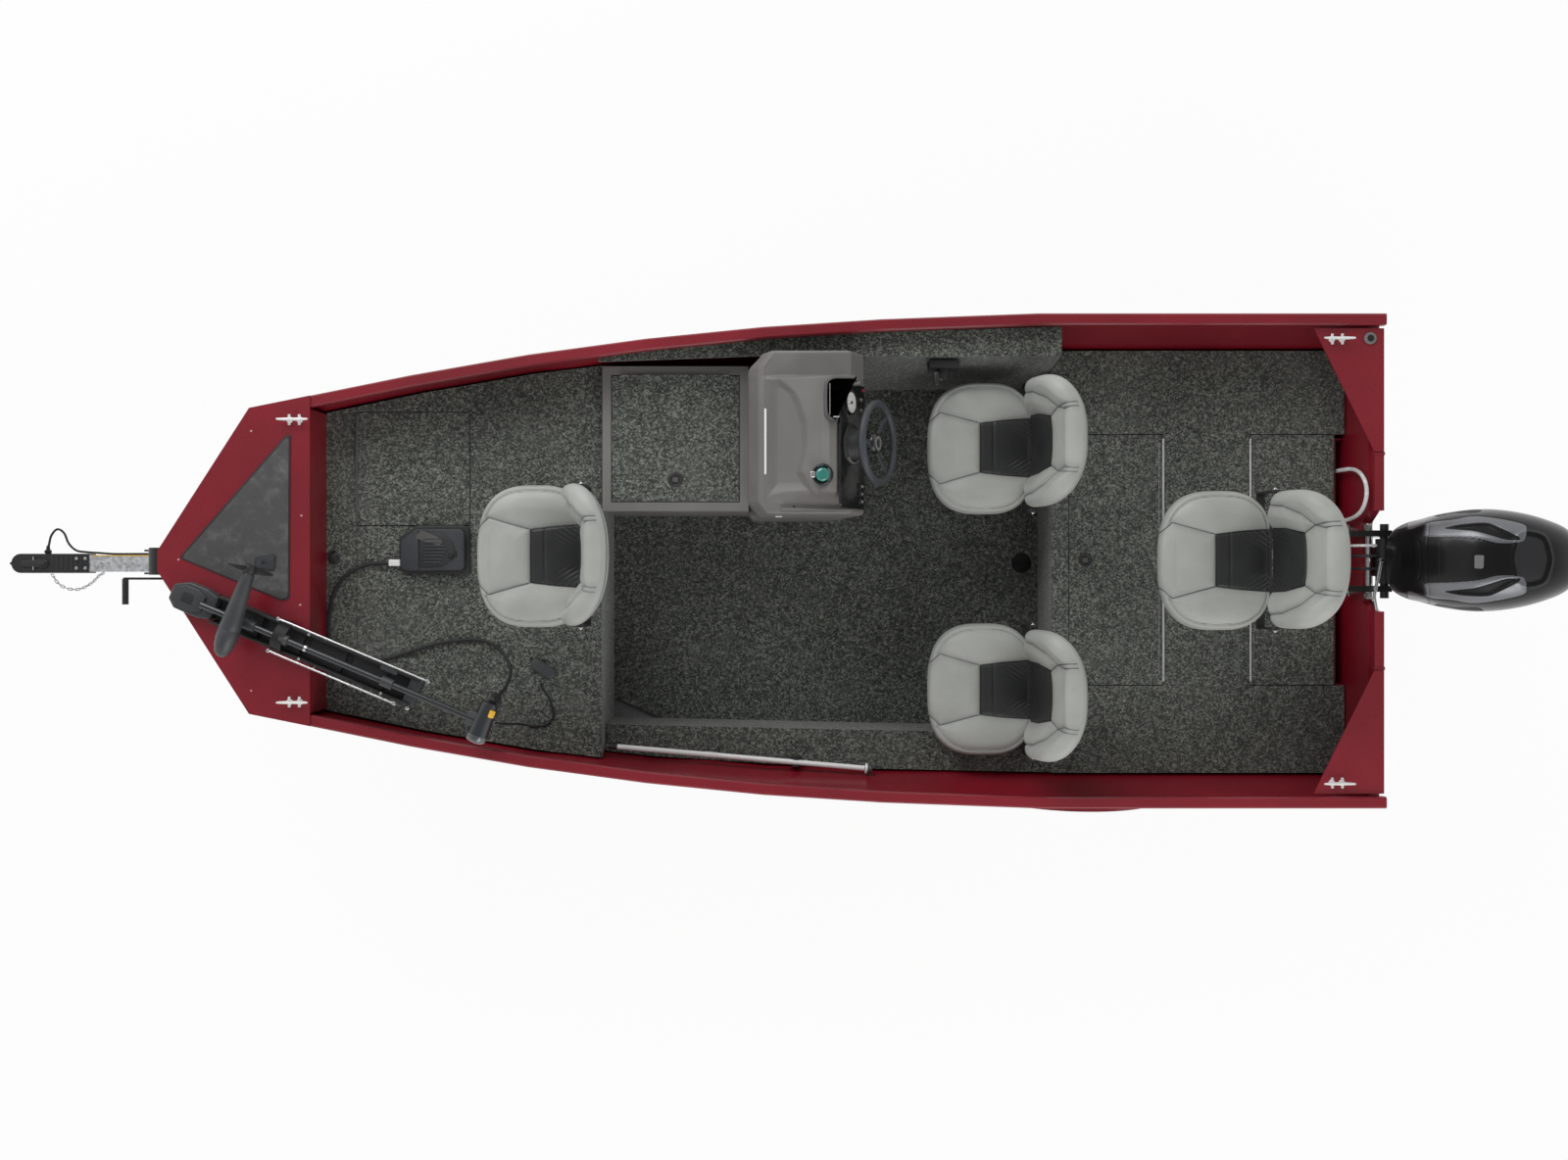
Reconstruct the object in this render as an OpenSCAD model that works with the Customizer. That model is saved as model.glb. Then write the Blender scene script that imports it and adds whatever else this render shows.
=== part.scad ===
// Aluminium fishing boat with its outboard, bow motor and seats, parked on its road trailer.
// Frame: bow towards -X, starboard towards +Y, up +Z, origin on the ground under the middle
// of the overall length. Millimetres.

/* [Hull] */
// Length of the hull from the stem to the transom
hull_len = 4880; // [4780:10:4980]
// Half of the beam over the gunwales
half_beam = 978; // [964:2:990]
// Height of the gunwale above the ground
gunwale_z = 1250; // [1240:2:1262]
// Height of the keel above the ground
keel_z = 500; // [494:1:506]
// Thickness of the hull plates
plate_t = 5; // [4:0.5:7]
// Width of the gunwale rail
rail_w = 46; // [40:1:52]
// Height of the gunwale rail
rail_h = 58; // [50:1:66]

/* [Decks] */
// Height of the cockpit floor above the ground
floor_z = 660; // [656:1:664]
// Height of the bow deck above the ground
bow_deck_z = 1070; // [1060:1:1080]
// Height of the stern deck above the ground
stern_deck_z = 970; // [960:1:972]
// Thickness of a carpeted deck panel
deck_t = 18; // [14:1:22]
// Gap round a lid
lid_gap = 4; // [3:0.5:6]
// Height of the starboard side ledge above the ground
ledge_z = 1192; // [1186:1:1196]
// Height of the port side shelf above the ground
shelf_z = 960; // [950:1:970]

/* [Seats] */
// Width of a seat
seat_w = 544; // [520:2:550]
// Length of a seat over cushion and back
seat_len = 576; // [560:2:580]
// Thickness of a seat cushion
cushion_t = 96; // [90:1:104]
// Thickness of a seat back
back_t = 92; // [84:1:96]
// Height of a seat back above its hinge
back_h = 372; // [350:1:380]
// Radius of a seat post
post_r = 36; // [30:1:40]

/* [Console] */
// Height of the console top above the ground
console_z = 1500; // [1480:1:1515]
// Width of the console across the boat
console_w = 640; // [620:2:650]
// Diameter of the steering wheel
wheel_d = 330; // [310:2:340]
// Pitch of the steering column above level
column_tilt = 27; // [22:1:32]

/* [Outboard] */
// Length of the cowl
cowl_len = 610; // [590:2:620]
// Width of the cowl
cowl_w = 396; // [380:2:404]
// Height of the cowl
cowl_h = 440; // [420:2:446]
// Diameter of the main propeller
prop_d = 300; // [280:2:310]

/* [Trailer] */
// Distance from the coupler's nose to the stem
tongue_lead = 1060; // [1030:5:1090]
// Width of a trailer tube
tube_w = 76; // [70:1:80]
// Height of a trailer tube
tube_h = 76; // [70:1:80]
// Height of the frame's top above the ground
frame_z = 470; // [465:1:475]
// Diameter of a tyre
tyre_d = 610; // [600:2:620]
// Width of a tyre
tyre_w = 176; // [165:1:182]
// Diameter of a wheel rim
rim_d = 340; // [330:2:350]
// Half of the overall width over the fenders
half_track = 1100; // [1094:1:1106]
// Outer radius of the jack's inner leg
leg_r = 24; // [22:0.5:26]

/* [Hidden] */
$fn = 48;
soft_fn = 32;
run_gap = 0.05;       // radial running gap of a shaft in its hole
seat_gap = 0.3;       // gap where two pieces rest on each other

motor_overhang = 600;
overall = tongue_lead + hull_len + motor_overhang;
x_nose = -overall / 2;
x_stem = x_nose + tongue_lead;
x_transom = x_stem + hull_len;

// hull stations: distance from the stem as a share of the length, then the shares of the half
// beam at the gunwale and the chine, and how far the chine and the keel lie above the keel line
ST_D = 0; ST_G = 1; ST_C = 2; ST_CZ = 3; ST_KZ = 4;
stations = [
    [0.000, 0.041, 0.037, 560, 540],
    [0.073, 0.616, 0.550, 440, 300],
    [0.123, 0.666, 0.615, 360, 178],
    [0.204, 0.748, 0.690, 265,  68],
    [0.300, 0.832, 0.760, 190,  22],
    [0.396, 0.897, 0.800, 152,   6],
    [0.492, 0.945, 0.812, 134,   0],
    [0.588, 0.976, 0.825, 125,   0],
    [0.716, 1.000, 0.830, 121,   0],
    [1.000, 1.000, 0.830, 120,   0]];

function st_x(s) = x_stem + s[ST_D] * hull_len;
function st_g(s) = s[ST_G] * half_beam;
function st_c(s) = s[ST_C] * half_beam;
function st_cz(s) = keel_z + s[ST_CZ];
function st_kz(s) = keel_z + s[ST_KZ];
// half beam at the gunwale at any x, straight between the stations
function beam_at(x) = lookup(x, [for (s = stations) [st_x(s), st_g(s)]]);
function chine_at(x) = lookup(x, [for (s = stations) [st_x(s), st_c(s)]]);
function chine_z_at(x) = lookup(x, [for (s = stations) [st_x(s), st_cz(s)]]);
function keel_z_at(x) = lookup(x, [for (s = stations) [st_x(s), st_kz(s)]]);
// outer half width of the hull's side at any x and height
function side_at(x, z) = let (cz = chine_z_at(x), kz = keel_z_at(x))
    z < cz ? chine_at(x) * max(0, z - kz) / (cz - kz) :
    chine_at(x) + (beam_at(x) - chine_at(x)) * min(1, (z - cz) / (gunwale_z - cz));

x_cap = x_stem + 598;          // rear edge of the red bow cap
x_bow_deck = x_stem + 1731;    // rear edge of the bow deck
x_stern_deck = x_transom - 1276;
x_well = x_transom - 90;       // front of the splash well
corner_x = x_transom - 282;    // front point of a stern corner plate
well_half = half_beam - 458;

deck_side = 8;                 // gap between a deck and the hull's side

// places of the four seats: x, y and height of the deck that each post stands on
SEAT_X = 0; SEAT_Y = 1; SEAT_Z = 2; SEAT_POST = 3;
seats = [
    [x_bow_deck - 139,      15, bow_deck_z,   340],
    [x_stern_deck - 240, half_beam - 510, floor_z, 340],
    [x_stern_deck - 240, 450 - half_beam, floor_z, 340],
    [x_stern_deck + 630,     0, stern_deck_z, 340]];
seat_names = ["bow", "driver", "port", "stern"];
cushion_front = -seat_len / 2;
cushion_back = 150;
back_lean = 8;
hinge_x = 128;
hinge_up = 52;                 // seat back hinge above the cushion's top
function cushion_z(s) = s[SEAT_Z] + s[SEAT_POST];

// a closed solid through a row of loops that all have the same number of points
module loft(loops) {
    n = len(loops[0]);
    m = len(loops);
    points = [for (l = loops) each l];
    sides = [for (i = [0:m - 2]) for (j = [0:n - 1]) let (k = (j + 1) % n)
        each [[i * n + j, (i + 1) * n + k, i * n + k],
              [i * n + j, (i + 1) * n + j, (i + 1) * n + k]]];
    first = [for (j = [1:n - 2]) [0, j, j + 1]];
    last = [for (j = [1:n - 2]) [(m - 1) * n, (m - 1) * n + j + 1, (m - 1) * n + j]];
    polyhedron(points, concat(first, sides, last), 4);
}

// a round cord through a few points, smoothed between them
function between(a, b, c, d, t) = 0.5 * (2 * b + (c - a) * t + (2 * a - 5 * b + 4 * c - d) * t * t
    + (3 * b - a - 3 * c + d) * t * t * t);
function smoothed(p, n) = let (m = len(p) - 1) concat(
    [for (i = [0:m - 1]) for (k = [0:n - 1])
        between(p[max(i - 1, 0)], p[i], p[i + 1], p[min(i + 2, m)], k / n)], [p[m]]);

module cord_tube(p, r, n = 4) {
    path = smoothed(p, n);
    m = len(path) - 1;
    loft([for (i = [0:m]) let (d = path[min(i + 1, m)] - path[max(i - 1, 0)],
                               s = cross(d, [0, 0, 1]) / norm(cross(d, [0, 0, 1])),
                               u = cross(s, d) / norm(cross(s, d)))
        [for (a = [0:45:315]) path[i] - r * cos(a) * s + r * sin(a) * u]]);
}

// plain pin hinge along Y: the part that stays has the pin, two end knuckles and their leaves
hinge_r = 4.5;
pin_hinge_r = 2;
knuckle = 24;
hinge_rise = 5.5;              // hinge axis above the surface of its lid
module hinge_fixed(len, rise, way) {
    rotate([90, 0, 0]) cylinder(h = len, r = pin_hinge_r, center = true);
    for (m = [-1, 1]) translate([0, m * (len - knuckle) / 2, 0]) {
        rotate([90, 0, 0]) cylinder(h = knuckle, r = hinge_r, center = true);
        translate([way > 0 ? 0 : -16, -knuckle / 2, -rise - 1]) cube([16, knuckle, rise - 2]);
    }
}

module hinge_moving(len, rise, way) {
    long = len - 2 * knuckle - 2;
    difference() {
        union() {
            rotate([90, 0, 0]) cylinder(h = long, r = hinge_r, center = true);
            translate([way > 0 ? 0 : -16, -long / 2, -rise - 1]) cube([16, long, rise - 2]);
        }
        rotate([90, 0, 0]) cylinder(h = long + 2, r = pin_hinge_r + run_gap, center = true);
    }
}

module both_sides() {
    children();
    mirror([0, 1, 0]) children();
}

module box(lo, hi) {
    translate(lo) cube(hi - lo);
}

// the hull: bottom plates, side plates and transom

module bottom_plate() {
    loft([for (s = stations) let (x = st_x(s), c = st_c(s) - plate_t, cz = st_cz(s),
                                  kz = st_kz(s))
        [[x, -1, kz], [x, c, cz], [x, c, cz + plate_t], [x, -1, kz + plate_t]]]);
}

module hull_bottom() {
    color([0.42, 0.42, 0.43]) both_sides() bottom_plate();
}

module side_plate() {
    loft([for (s = stations) let (x = st_x(s), c = st_c(s), g = st_g(s), cz = st_cz(s))
        [[x, c, cz], [x, g, gunwale_z], [x, g - plate_t, gunwale_z], [x, c - plate_t, cz]]]);
}

module hull_sides() {
    color([0.52, 0.06, 0.11]) {
        side_plate();
        mirror([0, 1, 0]) side_plate();
        stem_plate();
    }
}

// small flat plate that closes the hull between the sides at the stem
module stem_plate() {
    s = stations[0];
    translate([st_x(s) - plate_t, -st_g(s), st_cz(s)])
        cube([plate_t, 2 * st_g(s), gunwale_z - st_cz(s)]);
}

notch_half = half_beam - 818;
corner_in = half_beam - 540;    // inner end of a stern corner plate
notch_z = gunwale_z - 120;
transom_t = 44;

module transom() {
    c = chine_at(x_transom) - plate_t;
    g = side_at(x_transom, gunwale_z - rail_h) - plate_t - 1;
    cz = chine_z_at(x_transom);
    color([0.52, 0.06, 0.11])
    translate([x_transom - transom_t, 0, 0]) rotate([90, 0, 90])
    linear_extrude(transom_t)
        polygon([[-c + 8, cz + 8 + plate_t], [0, keel_z + plate_t + 2], [c - 8, cz + 8 + plate_t],
                 [g, gunwale_z - rail_h], [notch_half + 40, gunwale_z - rail_h],
                 [notch_half, notch_z], [-notch_half, notch_z],
                 [-notch_half - 40, gunwale_z - rail_h], [-g, gunwale_z - rail_h]]);
}

// one strip of the gunwale rail; its section is given from the edge of the beam and the gunwale
module rail_strip(section) {
    loft([for (s = [for (i = [1:len(stations) - 1]) stations[i]])
        [for (p = section) [st_x(s), st_g(s) + p[0], gunwale_z + p[1]]]]);
}

// box rail that caps each side: outer web, top and inner lip
module gunwale_rail() {
    rail_strip([[3, -rail_h], [6, -rail_h], [7.8, 2], [3, 2]]);
    rail_strip([[8 - rail_w, seat_gap], [8, seat_gap], [8, 4], [2, 10], [14 - rail_w, 10],
                [8 - rail_w, 4]]);
    rail_strip([[8 - rail_w, -26], [12 - rail_w, -26], [12 - rail_w, 2], [8 - rail_w, 2]]);
}

module gunwales() {
    color([0.56, 0.07, 0.12]) both_sides() gunwale_rail();
}

cap_t = 6;
// outline of the bow cap: stem, shoulders and rear edge
module bow_outline(inset) {
    s0 = stations[0];
    s1 = stations[1];
    s2 = stations[2];
    k = rail_w - 12 + inset;
    polygon([[st_x(s0) - 8, -st_g(s0)], [st_x(s1), -st_g(s1) + inset],
             [x_cap, -st_g(s2) + inset], [x_cap, st_g(s2) - inset],
             [st_x(s1), st_g(s1) - inset], [st_x(s0) - 8, st_g(s0)]]);
}

module bow_cap() {
    color([0.5, 0.06, 0.1]) {
        translate([0, 0, gunwale_z + 10 + seat_gap]) linear_extrude(cap_t) bow_outline(-6);
        translate([x_cap - 8, -st_g(stations[2]) + rail_w, bow_deck_z + seat_gap])
            cube([8, 2 * st_g(stations[2]) - 2 * rail_w, gunwale_z + 10 - bow_deck_z]);
    }
}

// raised tread pad on the starboard side of the bow cap
module bow_pad() {
    color([0.29, 0.29, 0.3])
    translate([0, 0, gunwale_z + 10 + cap_t + 2 * seat_gap])
    linear_extrude(5) offset(8) offset(-8)
        polygon([[x_stem + 80, 12], [x_cap - 92, 500], [x_cap - 76, 500],
                 [x_cap - 80, -150], [x_cap - 110, -158]]);
}

module corner_plate() {
    z = gunwale_z - 18;
    translate([0, 0, z]) linear_extrude(6)
        polygon([[corner_x, half_beam - rail_w - 2], [x_transom - 2, half_beam - rail_w - 2],
                 [x_transom - 2, corner_in], [x_transom - 40, corner_in]]);
}

module transom_rail() {
    translate([x_transom - 36, notch_half + 42, gunwale_z - rail_h + seat_gap])
        cube([38, half_beam - rail_w - notch_half - 44, 39]);
}

module stern_corners() {
    color([0.5, 0.06, 0.1]) both_sides() {
        corner_plate();
        transom_rail();
    }
}

// tray ahead of the transom that the tilted motor swings over
module splash_well() {
    tray_z = stern_deck_z - 150;
    color([0.42, 0.04, 0.08])
    difference() {
        box([x_well + 10, -well_half, tray_z], [x_transom - transom_t - seat_gap, well_half,
            stern_deck_z - 9 - deck_t - seat_gap]);
        box([x_well + 16, -well_half + 6, tray_z + 6],
            [x_transom, well_half - 6, stern_deck_z]);
    }
}

// decks, floor and liners

// half width of a deck at x and height z, clear of the side plate
function deck_half(x, z) = side_at(x, z - plate_t - 1) - plate_t - deck_side;

module deck_outline(x0, x1, z) {
    xs = concat([x0], [for (s = stations) if (st_x(s) > x0 + 1 && st_x(s) < x1 - 1) st_x(s)],
                [x1]);
    polygon(concat([for (x = xs) [x, -deck_half(x, z)]],
                   [for (i = [len(xs) - 1:-1:0]) [xs[i], deck_half(xs[i], z)]]));
}

seam_w = 3;
x_bow_seam = x_cap + 124;
bow_lid_x = [x_bow_seam, x_bow_seam + 468];
bow_lid_y = [146, deck_half(x_bow_seam, bow_deck_z - deck_t) - 20];
bow_hinge = [bow_lid_x[0] + lid_gap / 2, (bow_lid_y[0] + bow_lid_y[1]) / 2,
             bow_deck_z + hinge_rise];
lid_hinge_w = 440;

module bow_deck() {
    drop = bow_deck_z - deck_t - floor_z;
    color([0.25, 0.26, 0.24]) {
        difference() {
            translate([0, 0, bow_deck_z - deck_t]) linear_extrude(deck_t)
                deck_outline(x_cap, x_bow_deck, bow_deck_z - deck_t);
            box([x_bow_seam, -half_beam, bow_deck_z - 4],
                [x_bow_seam + seam_w, half_beam, bow_deck_z + 1]);
            box([bow_lid_x[0], bow_lid_y[0], bow_deck_z - deck_t - 1],
                [bow_lid_x[1], bow_lid_y[1], bow_deck_z + 1]);
        }
        lid_ledge(bow_lid_x[0], bow_lid_x[1], bow_lid_y[0], bow_lid_y[1],
                  bow_deck_z - deck_t - seat_gap);
        translate(bow_hinge) hinge_fixed(lid_hinge_w, hinge_rise, -1);
        translate([x_bow_deck - deck_t, 0, floor_z + seat_gap]) rotate([90, 0, 90])
            linear_extrude(deck_t) polygon([
                [-deck_half(x_bow_deck, floor_z), 0], [deck_half(x_bow_deck, floor_z), 0],
                [deck_half(x_bow_deck, bow_deck_z - deck_t), drop - 2 * seat_gap],
                [-deck_half(x_bow_deck, bow_deck_z - deck_t), drop - 2 * seat_gap]]);
    }
}

lid_fore = [x_stern_deck + 70, x_stern_deck + 469];
lid_aft = [x_stern_deck + 830, x_well];
lid_half = half_beam - 450;
fore_hinge = [lid_fore[1] - lid_gap / 2, 8, stern_deck_z + hinge_rise];
aft_hinge = [lid_aft[0] + lid_gap / 2, 8, stern_deck_z + hinge_rise];
stern_hinge_w = 2 * lid_half - 40;

// ledge under the edge of a lid's opening
module lid_ledge(x0, x1, y0, y1, z) {
    difference() {
        box([x0 - 12, y0 - 12, z - 8], [x1 + 12, y1 + 12, z]);
        box([x0 + 16, y0 + 16, z - 9], [x1 - 16, y1 - 16, z + 1]);
    }
}

module bow_lid() {
    color([0.27, 0.28, 0.26]) {
        box([bow_lid_x[0] + lid_gap, bow_lid_y[0] + lid_gap, bow_deck_z - deck_t],
            [bow_lid_x[1] - lid_gap, bow_lid_y[1] - lid_gap, bow_deck_z]);
        translate(bow_hinge) hinge_moving(lid_hinge_w, hinge_rise, 1);
    }
}

module stern_deck() {
    drop = stern_deck_z - deck_t - floor_z;
    color([0.25, 0.26, 0.24]) {
        difference() {
            translate([0, 0, stern_deck_z - deck_t]) linear_extrude(deck_t)
                deck_outline(x_stern_deck, x_transom - transom_t - 4, stern_deck_z - deck_t);
            box([lid_fore[0], 8 - lid_half, stern_deck_z - deck_t - 1],
                [lid_fore[1], 8 + lid_half, stern_deck_z + 1]);
            box([lid_aft[0], 8 - lid_half, stern_deck_z - deck_t - 1],
                [x_transom, 8 + lid_half, stern_deck_z + 1]);
        }
        lid_ledge(lid_fore[0], lid_fore[1], 8 - lid_half, 8 + lid_half,
                  stern_deck_z - deck_t - seat_gap);
        translate(fore_hinge) hinge_fixed(stern_hinge_w, hinge_rise, 1);
        translate(aft_hinge) hinge_fixed(stern_hinge_w, hinge_rise, -1);
        lid_ledge(lid_aft[0], x_well - 4, 8 - lid_half, 8 + lid_half,
                  stern_deck_z - deck_t - seat_gap);
        translate([x_stern_deck, 0, floor_z + seat_gap]) rotate([90, 0, 90])
            linear_extrude(deck_t) polygon([
                [-deck_half(x_stern_deck, floor_z), 0], [deck_half(x_stern_deck, floor_z), 0],
                [deck_half(x_stern_deck, stern_deck_z - deck_t), drop - 2 * seat_gap],
                [-deck_half(x_stern_deck, stern_deck_z - deck_t), drop - 2 * seat_gap]]);
    }
}

socket_r = 46;                 // spare socket for a seat post
module cockpit_floor() {
    color([0.2, 0.21, 0.19])
    difference() {
        translate([0, 0, floor_z - deck_t]) linear_extrude(deck_t)
            deck_outline(x_bow_deck - 20, x_transom - transom_t - 60, floor_z - deck_t);
        translate([x_stern_deck - 70, 0, floor_z - deck_t - 1]) cylinder(h = deck_t + 2, r = socket_r);
    }
}

ledge_in = half_beam - 152;
shelf_in = half_beam - 256;
x_ledge = x_bow_deck + 3;
liner_t = 12;

// inner face of the starboard wall at any x and height
wall_x = [x_bow_deck + 1076, x_stern_deck - 3];
function wall_foot(x) = lookup(x, [for (w = wall_x) [w, deck_half(w, floor_z) - liner_t - 24]]);
function wall_y(x, z) = let (share = (z - floor_z) / (ledge_z - liner_t - floor_z))
    wall_foot(x) + share * (ledge_in + 4 - wall_foot(x));

// carpeted starboard ledge: a level top, and a wall down to the floor behind the console
module starboard_liner() {
    x0 = x_ledge;
    x1 = x_stern_deck - 3;
    z = ledge_z - liner_t;
    translate([0, 0, z]) linear_extrude(liner_t) polygon(concat(
        [for (x = [x0, st_x(stations[5]), st_x(stations[6]), st_x(stations[7]), x1])
            [x, deck_half(x, z)]],
        [[x1, ledge_in], [x_bow_deck + 620, ledge_in], [x0, ledge_in - 22]]));
    loft([for (x = wall_x) let (foot = wall_foot(x))
        [[x, foot, floor_z + seat_gap], [x, foot + liner_t, floor_z + seat_gap],
         [x, ledge_in + 4 + liner_t, z - seat_gap], [x, ledge_in + 4, z - seat_gap]]]);
}

// carpeted port shelf, lower and wider, with its wall down to the floor
module port_liner() {
    x0 = x_ledge;
    x1 = x_stern_deck - 3;
    inner = min(shelf_in, deck_half(x0, shelf_z) - 60);
    mirror([0, 1, 0]) {
        translate([0, 0, shelf_z - liner_t]) linear_extrude(liner_t) polygon(concat(
            [for (x = [x0, st_x(stations[5]), st_x(stations[6]), st_x(stations[7]), x1])
                [x, deck_half(x, shelf_z - liner_t)]],
            [[x1, shelf_in], [x0, inner - 40]]));
        loft([for (x = [x0, x1]) let (foot = x == x0 ? inner - 40 : shelf_in)
            [[x, foot, floor_z + seat_gap], [x, foot + liner_t, floor_z + seat_gap],
             [x, foot + liner_t, shelf_z - liner_t - seat_gap],
             [x, foot, shelf_z - liner_t - seat_gap]]]);
    }
}

module side_liners() {
    color([0.24, 0.25, 0.23]) {
        starboard_liner();
        port_liner();
    }
}

// storage locker ahead of the console, with its lid hinged outboard

locker = [[x_bow_deck + 8, x_bow_deck + 606], [half_beam - 772, half_beam - 180]];
locker_z = 1110;
locker_wall = 14;
lid_in = 36;
latch_r = 20;
locker_hinge = [(locker[0][0] + locker[0][1]) / 2, locker[1][1] - lid_in - lid_gap / 2,
                locker_z + 2 + hinge_rise];

// the locker's section leans out with the hull's side
module locker_block(x0, x1, wall) {
    y = locker[1];
    translate([x0, 0, 0]) rotate([90, 0, 90]) linear_extrude(x1 - x0)
        polygon([[y[0] + wall, floor_z + seat_gap + wall], [y[1] - 140 - wall, floor_z + seat_gap + wall],
                 [y[1] - wall, locker_z - 30], [y[1] - wall, locker_z - (wall > 0 ? deck_t + 4 : 0)],
                 [y[0] + wall, locker_z - (wall > 0 ? deck_t + 4 : 0)]]);
}

module locker() {
    x = locker[0];
    y = locker[1];
    color([0.5, 0.5, 0.5])
    difference() {
        locker_block(x[0], x[1], 0);
        locker_block(x[0] + locker_wall, x[1] - locker_wall, locker_wall);
        box([x[0] + lid_in, y[0] + lid_in, locker_z - deck_t - 5],
            [x[1] - lid_in, y[1] - lid_in, locker_z + 1]);
    }
    color([0.5, 0.5, 0.5]) {
        lid_ledge(x[0] + lid_in, x[1] - lid_in, y[0] + lid_in, y[1] - lid_in,
                  locker_z - deck_t - seat_gap);
        translate(locker_hinge) rotate([0, 0, 90]) hinge_fixed(lid_hinge_w, hinge_rise + 2, 1);
    }
}

module locker_lid() {
    x = locker[0];
    y = locker[1];
    color([0.3, 0.31, 0.29])
    difference() {
        box([x[0] + lid_in + lid_gap, y[0] + lid_in + lid_gap, locker_z - deck_t],
            [x[1] - lid_in - lid_gap, y[1] - lid_in - lid_gap, locker_z + 2]);
        translate([x[0] + 300, y[0] + lid_in + 92, locker_z - 8])
            cylinder(h = 12, r = latch_r);
    }
    color([0.3, 0.31, 0.29])
        translate(locker_hinge) rotate([0, 0, 90]) hinge_moving(lid_hinge_w, hinge_rise, -1);
}

module stern_lid(x) {
    box([x[0] + lid_gap, 8 - lid_half + lid_gap, stern_deck_z - deck_t],
        [x[1] - lid_gap, 8 + lid_half - lid_gap, stern_deck_z]);
}

module stern_lid_fore() {
    color([0.27, 0.28, 0.26])
    difference() {
        stern_lid(lid_fore);
        translate([lid_fore[0] + 72, 8, stern_deck_z - 8]) cylinder(h = 10, r = latch_r);
    }
    color([0.7, 0.7, 0.71]) translate(fore_hinge) hinge_moving(stern_hinge_w, hinge_rise, -1);
}

module stern_lid_aft() {
    color([0.27, 0.28, 0.26]) stern_lid(lid_aft);
    color([0.7, 0.7, 0.71]) translate(aft_hinge) hinge_moving(stern_hinge_w, hinge_rise, 1);
}

// console, instrument panel and wheel

con_x = [locker[0][1] + 2, locker[0][1] + 462];
con_y = [ledge_in - 6 - console_w, ledge_in - 6];
column_y = (con_y[0] + con_y[1]) / 2 - 50;
dash_x = con_x[1] - 100;
hub = [con_x[1] + 46, column_y, 1440];

module console() {
    x = con_x;
    y = con_y;
    side = [[x[0], floor_z + seat_gap], [x[1] - 120, floor_z + seat_gap], [x[1] - 20, 1180],
            [x[1] - 2, 1270], [dash_x - 2, console_z - 40], [dash_x - 44, console_z],
            [x[0] + 130, console_z - 50], [x[0] + 40, console_z - 130], [x[0], 1300]];
    inner = [[x[0] + 12, floor_z + 14], [x[1] - 134, floor_z + 14], [x[1] - 36, 1180],
             [x[1] - 18, 1262], [dash_x - 16, console_z - 58], [dash_x - 50, console_z - 14],
             [x[0] + 138, console_z - 64], [x[0] + 50, console_z - 142], [x[0] + 12, 1295]];
    color([0.42, 0.42, 0.41])
    difference() {
        union() {
            on_column() cylinder(h = 56, r = 45.6);
        translate([0, y[1], 0]) rotate([90, 0, 0]) linear_extrude(console_w) polygon(side);
        }
        on_column() cylinder(h = 200, r = 12 + run_gap, center = true);
        translate([0, y[1] - 12, 0]) rotate([90, 0, 0]) linear_extrude(console_w - 24)
            polygon(inner);
        box([x[0] + 60, y[0] + 60, floor_z - 1], [x[1] + 10, y[1] - 60, 1100]);
        translate([x[0] - 1, 0, 0]) rotate([90, 0, 90]) linear_extrude(x[1] - x[0] + 2)
            polygon([[y[1] - 52, floor_z - 1], [y[1] + 20, floor_z - 1], [y[1] + 20, 840],
                     [y[1] + 1, 840]]);
    }
    color([0.42, 0.42, 0.41]) translate([0, column_y + 244, 0]) rotate([90, 0, 0])
        linear_extrude(166) polygon([[dash_x - 49, console_z - 8], [dash_x - 34, console_z + 26],
            [dash_x + 60, console_z + 22], [dash_x + 78, console_z + 6], [dash_x + 66, console_z],
            [dash_x + 8, console_z + 2], [dash_x - 24, console_z - 24]]);
}

// instrument panel, laid on the console's sloping aft face
module dash() {
    p0 = [con_x[1] - 2, 1276];
    p1 = [dash_x - 2, console_z - 40];
    n = [p1[1] - p0[1], p0[0] - p1[0]] / norm(p1 - p0);
    color([0.05, 0.05, 0.06])
    difference() {
        translate([0, column_y + 262, 0]) rotate([90, 0, 0]) linear_extrude(530)
            polygon([p0 + 0.3 * n, p0 + 10 * n, p1 + 10 * n, p1 + 0.3 * n]);
        on_column() cylinder(h = 200, r = 46, center = true);
    }
}

column_back = 126;
module on_column() {
    translate(hub) rotate([0, 90 - column_tilt, 0]) translate([0, 0, -column_back]) children();
}

module steering_wheel() {
    color([0.22, 0.23, 0.25])
    translate(hub) rotate([0, 90 - column_tilt, 0]) {
        rotate_extrude() translate([wheel_d / 2 - 14, 0]) circle(14, $fn = 24);
        translate([0, 0, -22]) cylinder(h = 20, r = 40);
        for (a = [90, 210, 330]) rotate([0, 0, a])
            translate([20, -12, -14]) cube([wheel_d / 2 - 30, 24, 8]);
        translate([0, 0, -column_back]) cylinder(h = column_back - 10, r = 12);
    }
}

module throttle_box() {
    x = con_x[1] + 275;
    z = ledge_z - 142;
    y = wall_y(x, z) + 1.2 - 30;
    color([0.09, 0.09, 0.1]) {
        translate([x, y, z]) cube([120, 30, 110]);
        translate([x + 60, y + 1, z + 55]) rotate([90, 0, 0]) cylinder(h = 34, r = 26);
    }
}

module cleat() {
    translate([0, 0, 0]) cube([60, 22, 6], center = true);
    for (s = [-1, 1]) translate([14 * s, 0, 0]) cylinder(h = 26, r = 6);
    translate([-55, 0, 26]) rotate([0, 90, 0]) cylinder(h = 110, r = 6.5);
}

module cleats() {
    z = gunwale_z + 10 + cap_t + 3 + seat_gap;
    color([0.85, 0.85, 0.86]) both_sides() {
        translate([x_cap - 60, st_g(stations[2]) - 91, z]) cleat();
        translate([x_transom - 190, half_beam - 92, gunwale_z - 9 + seat_gap]) cleat();
    }
}

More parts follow.
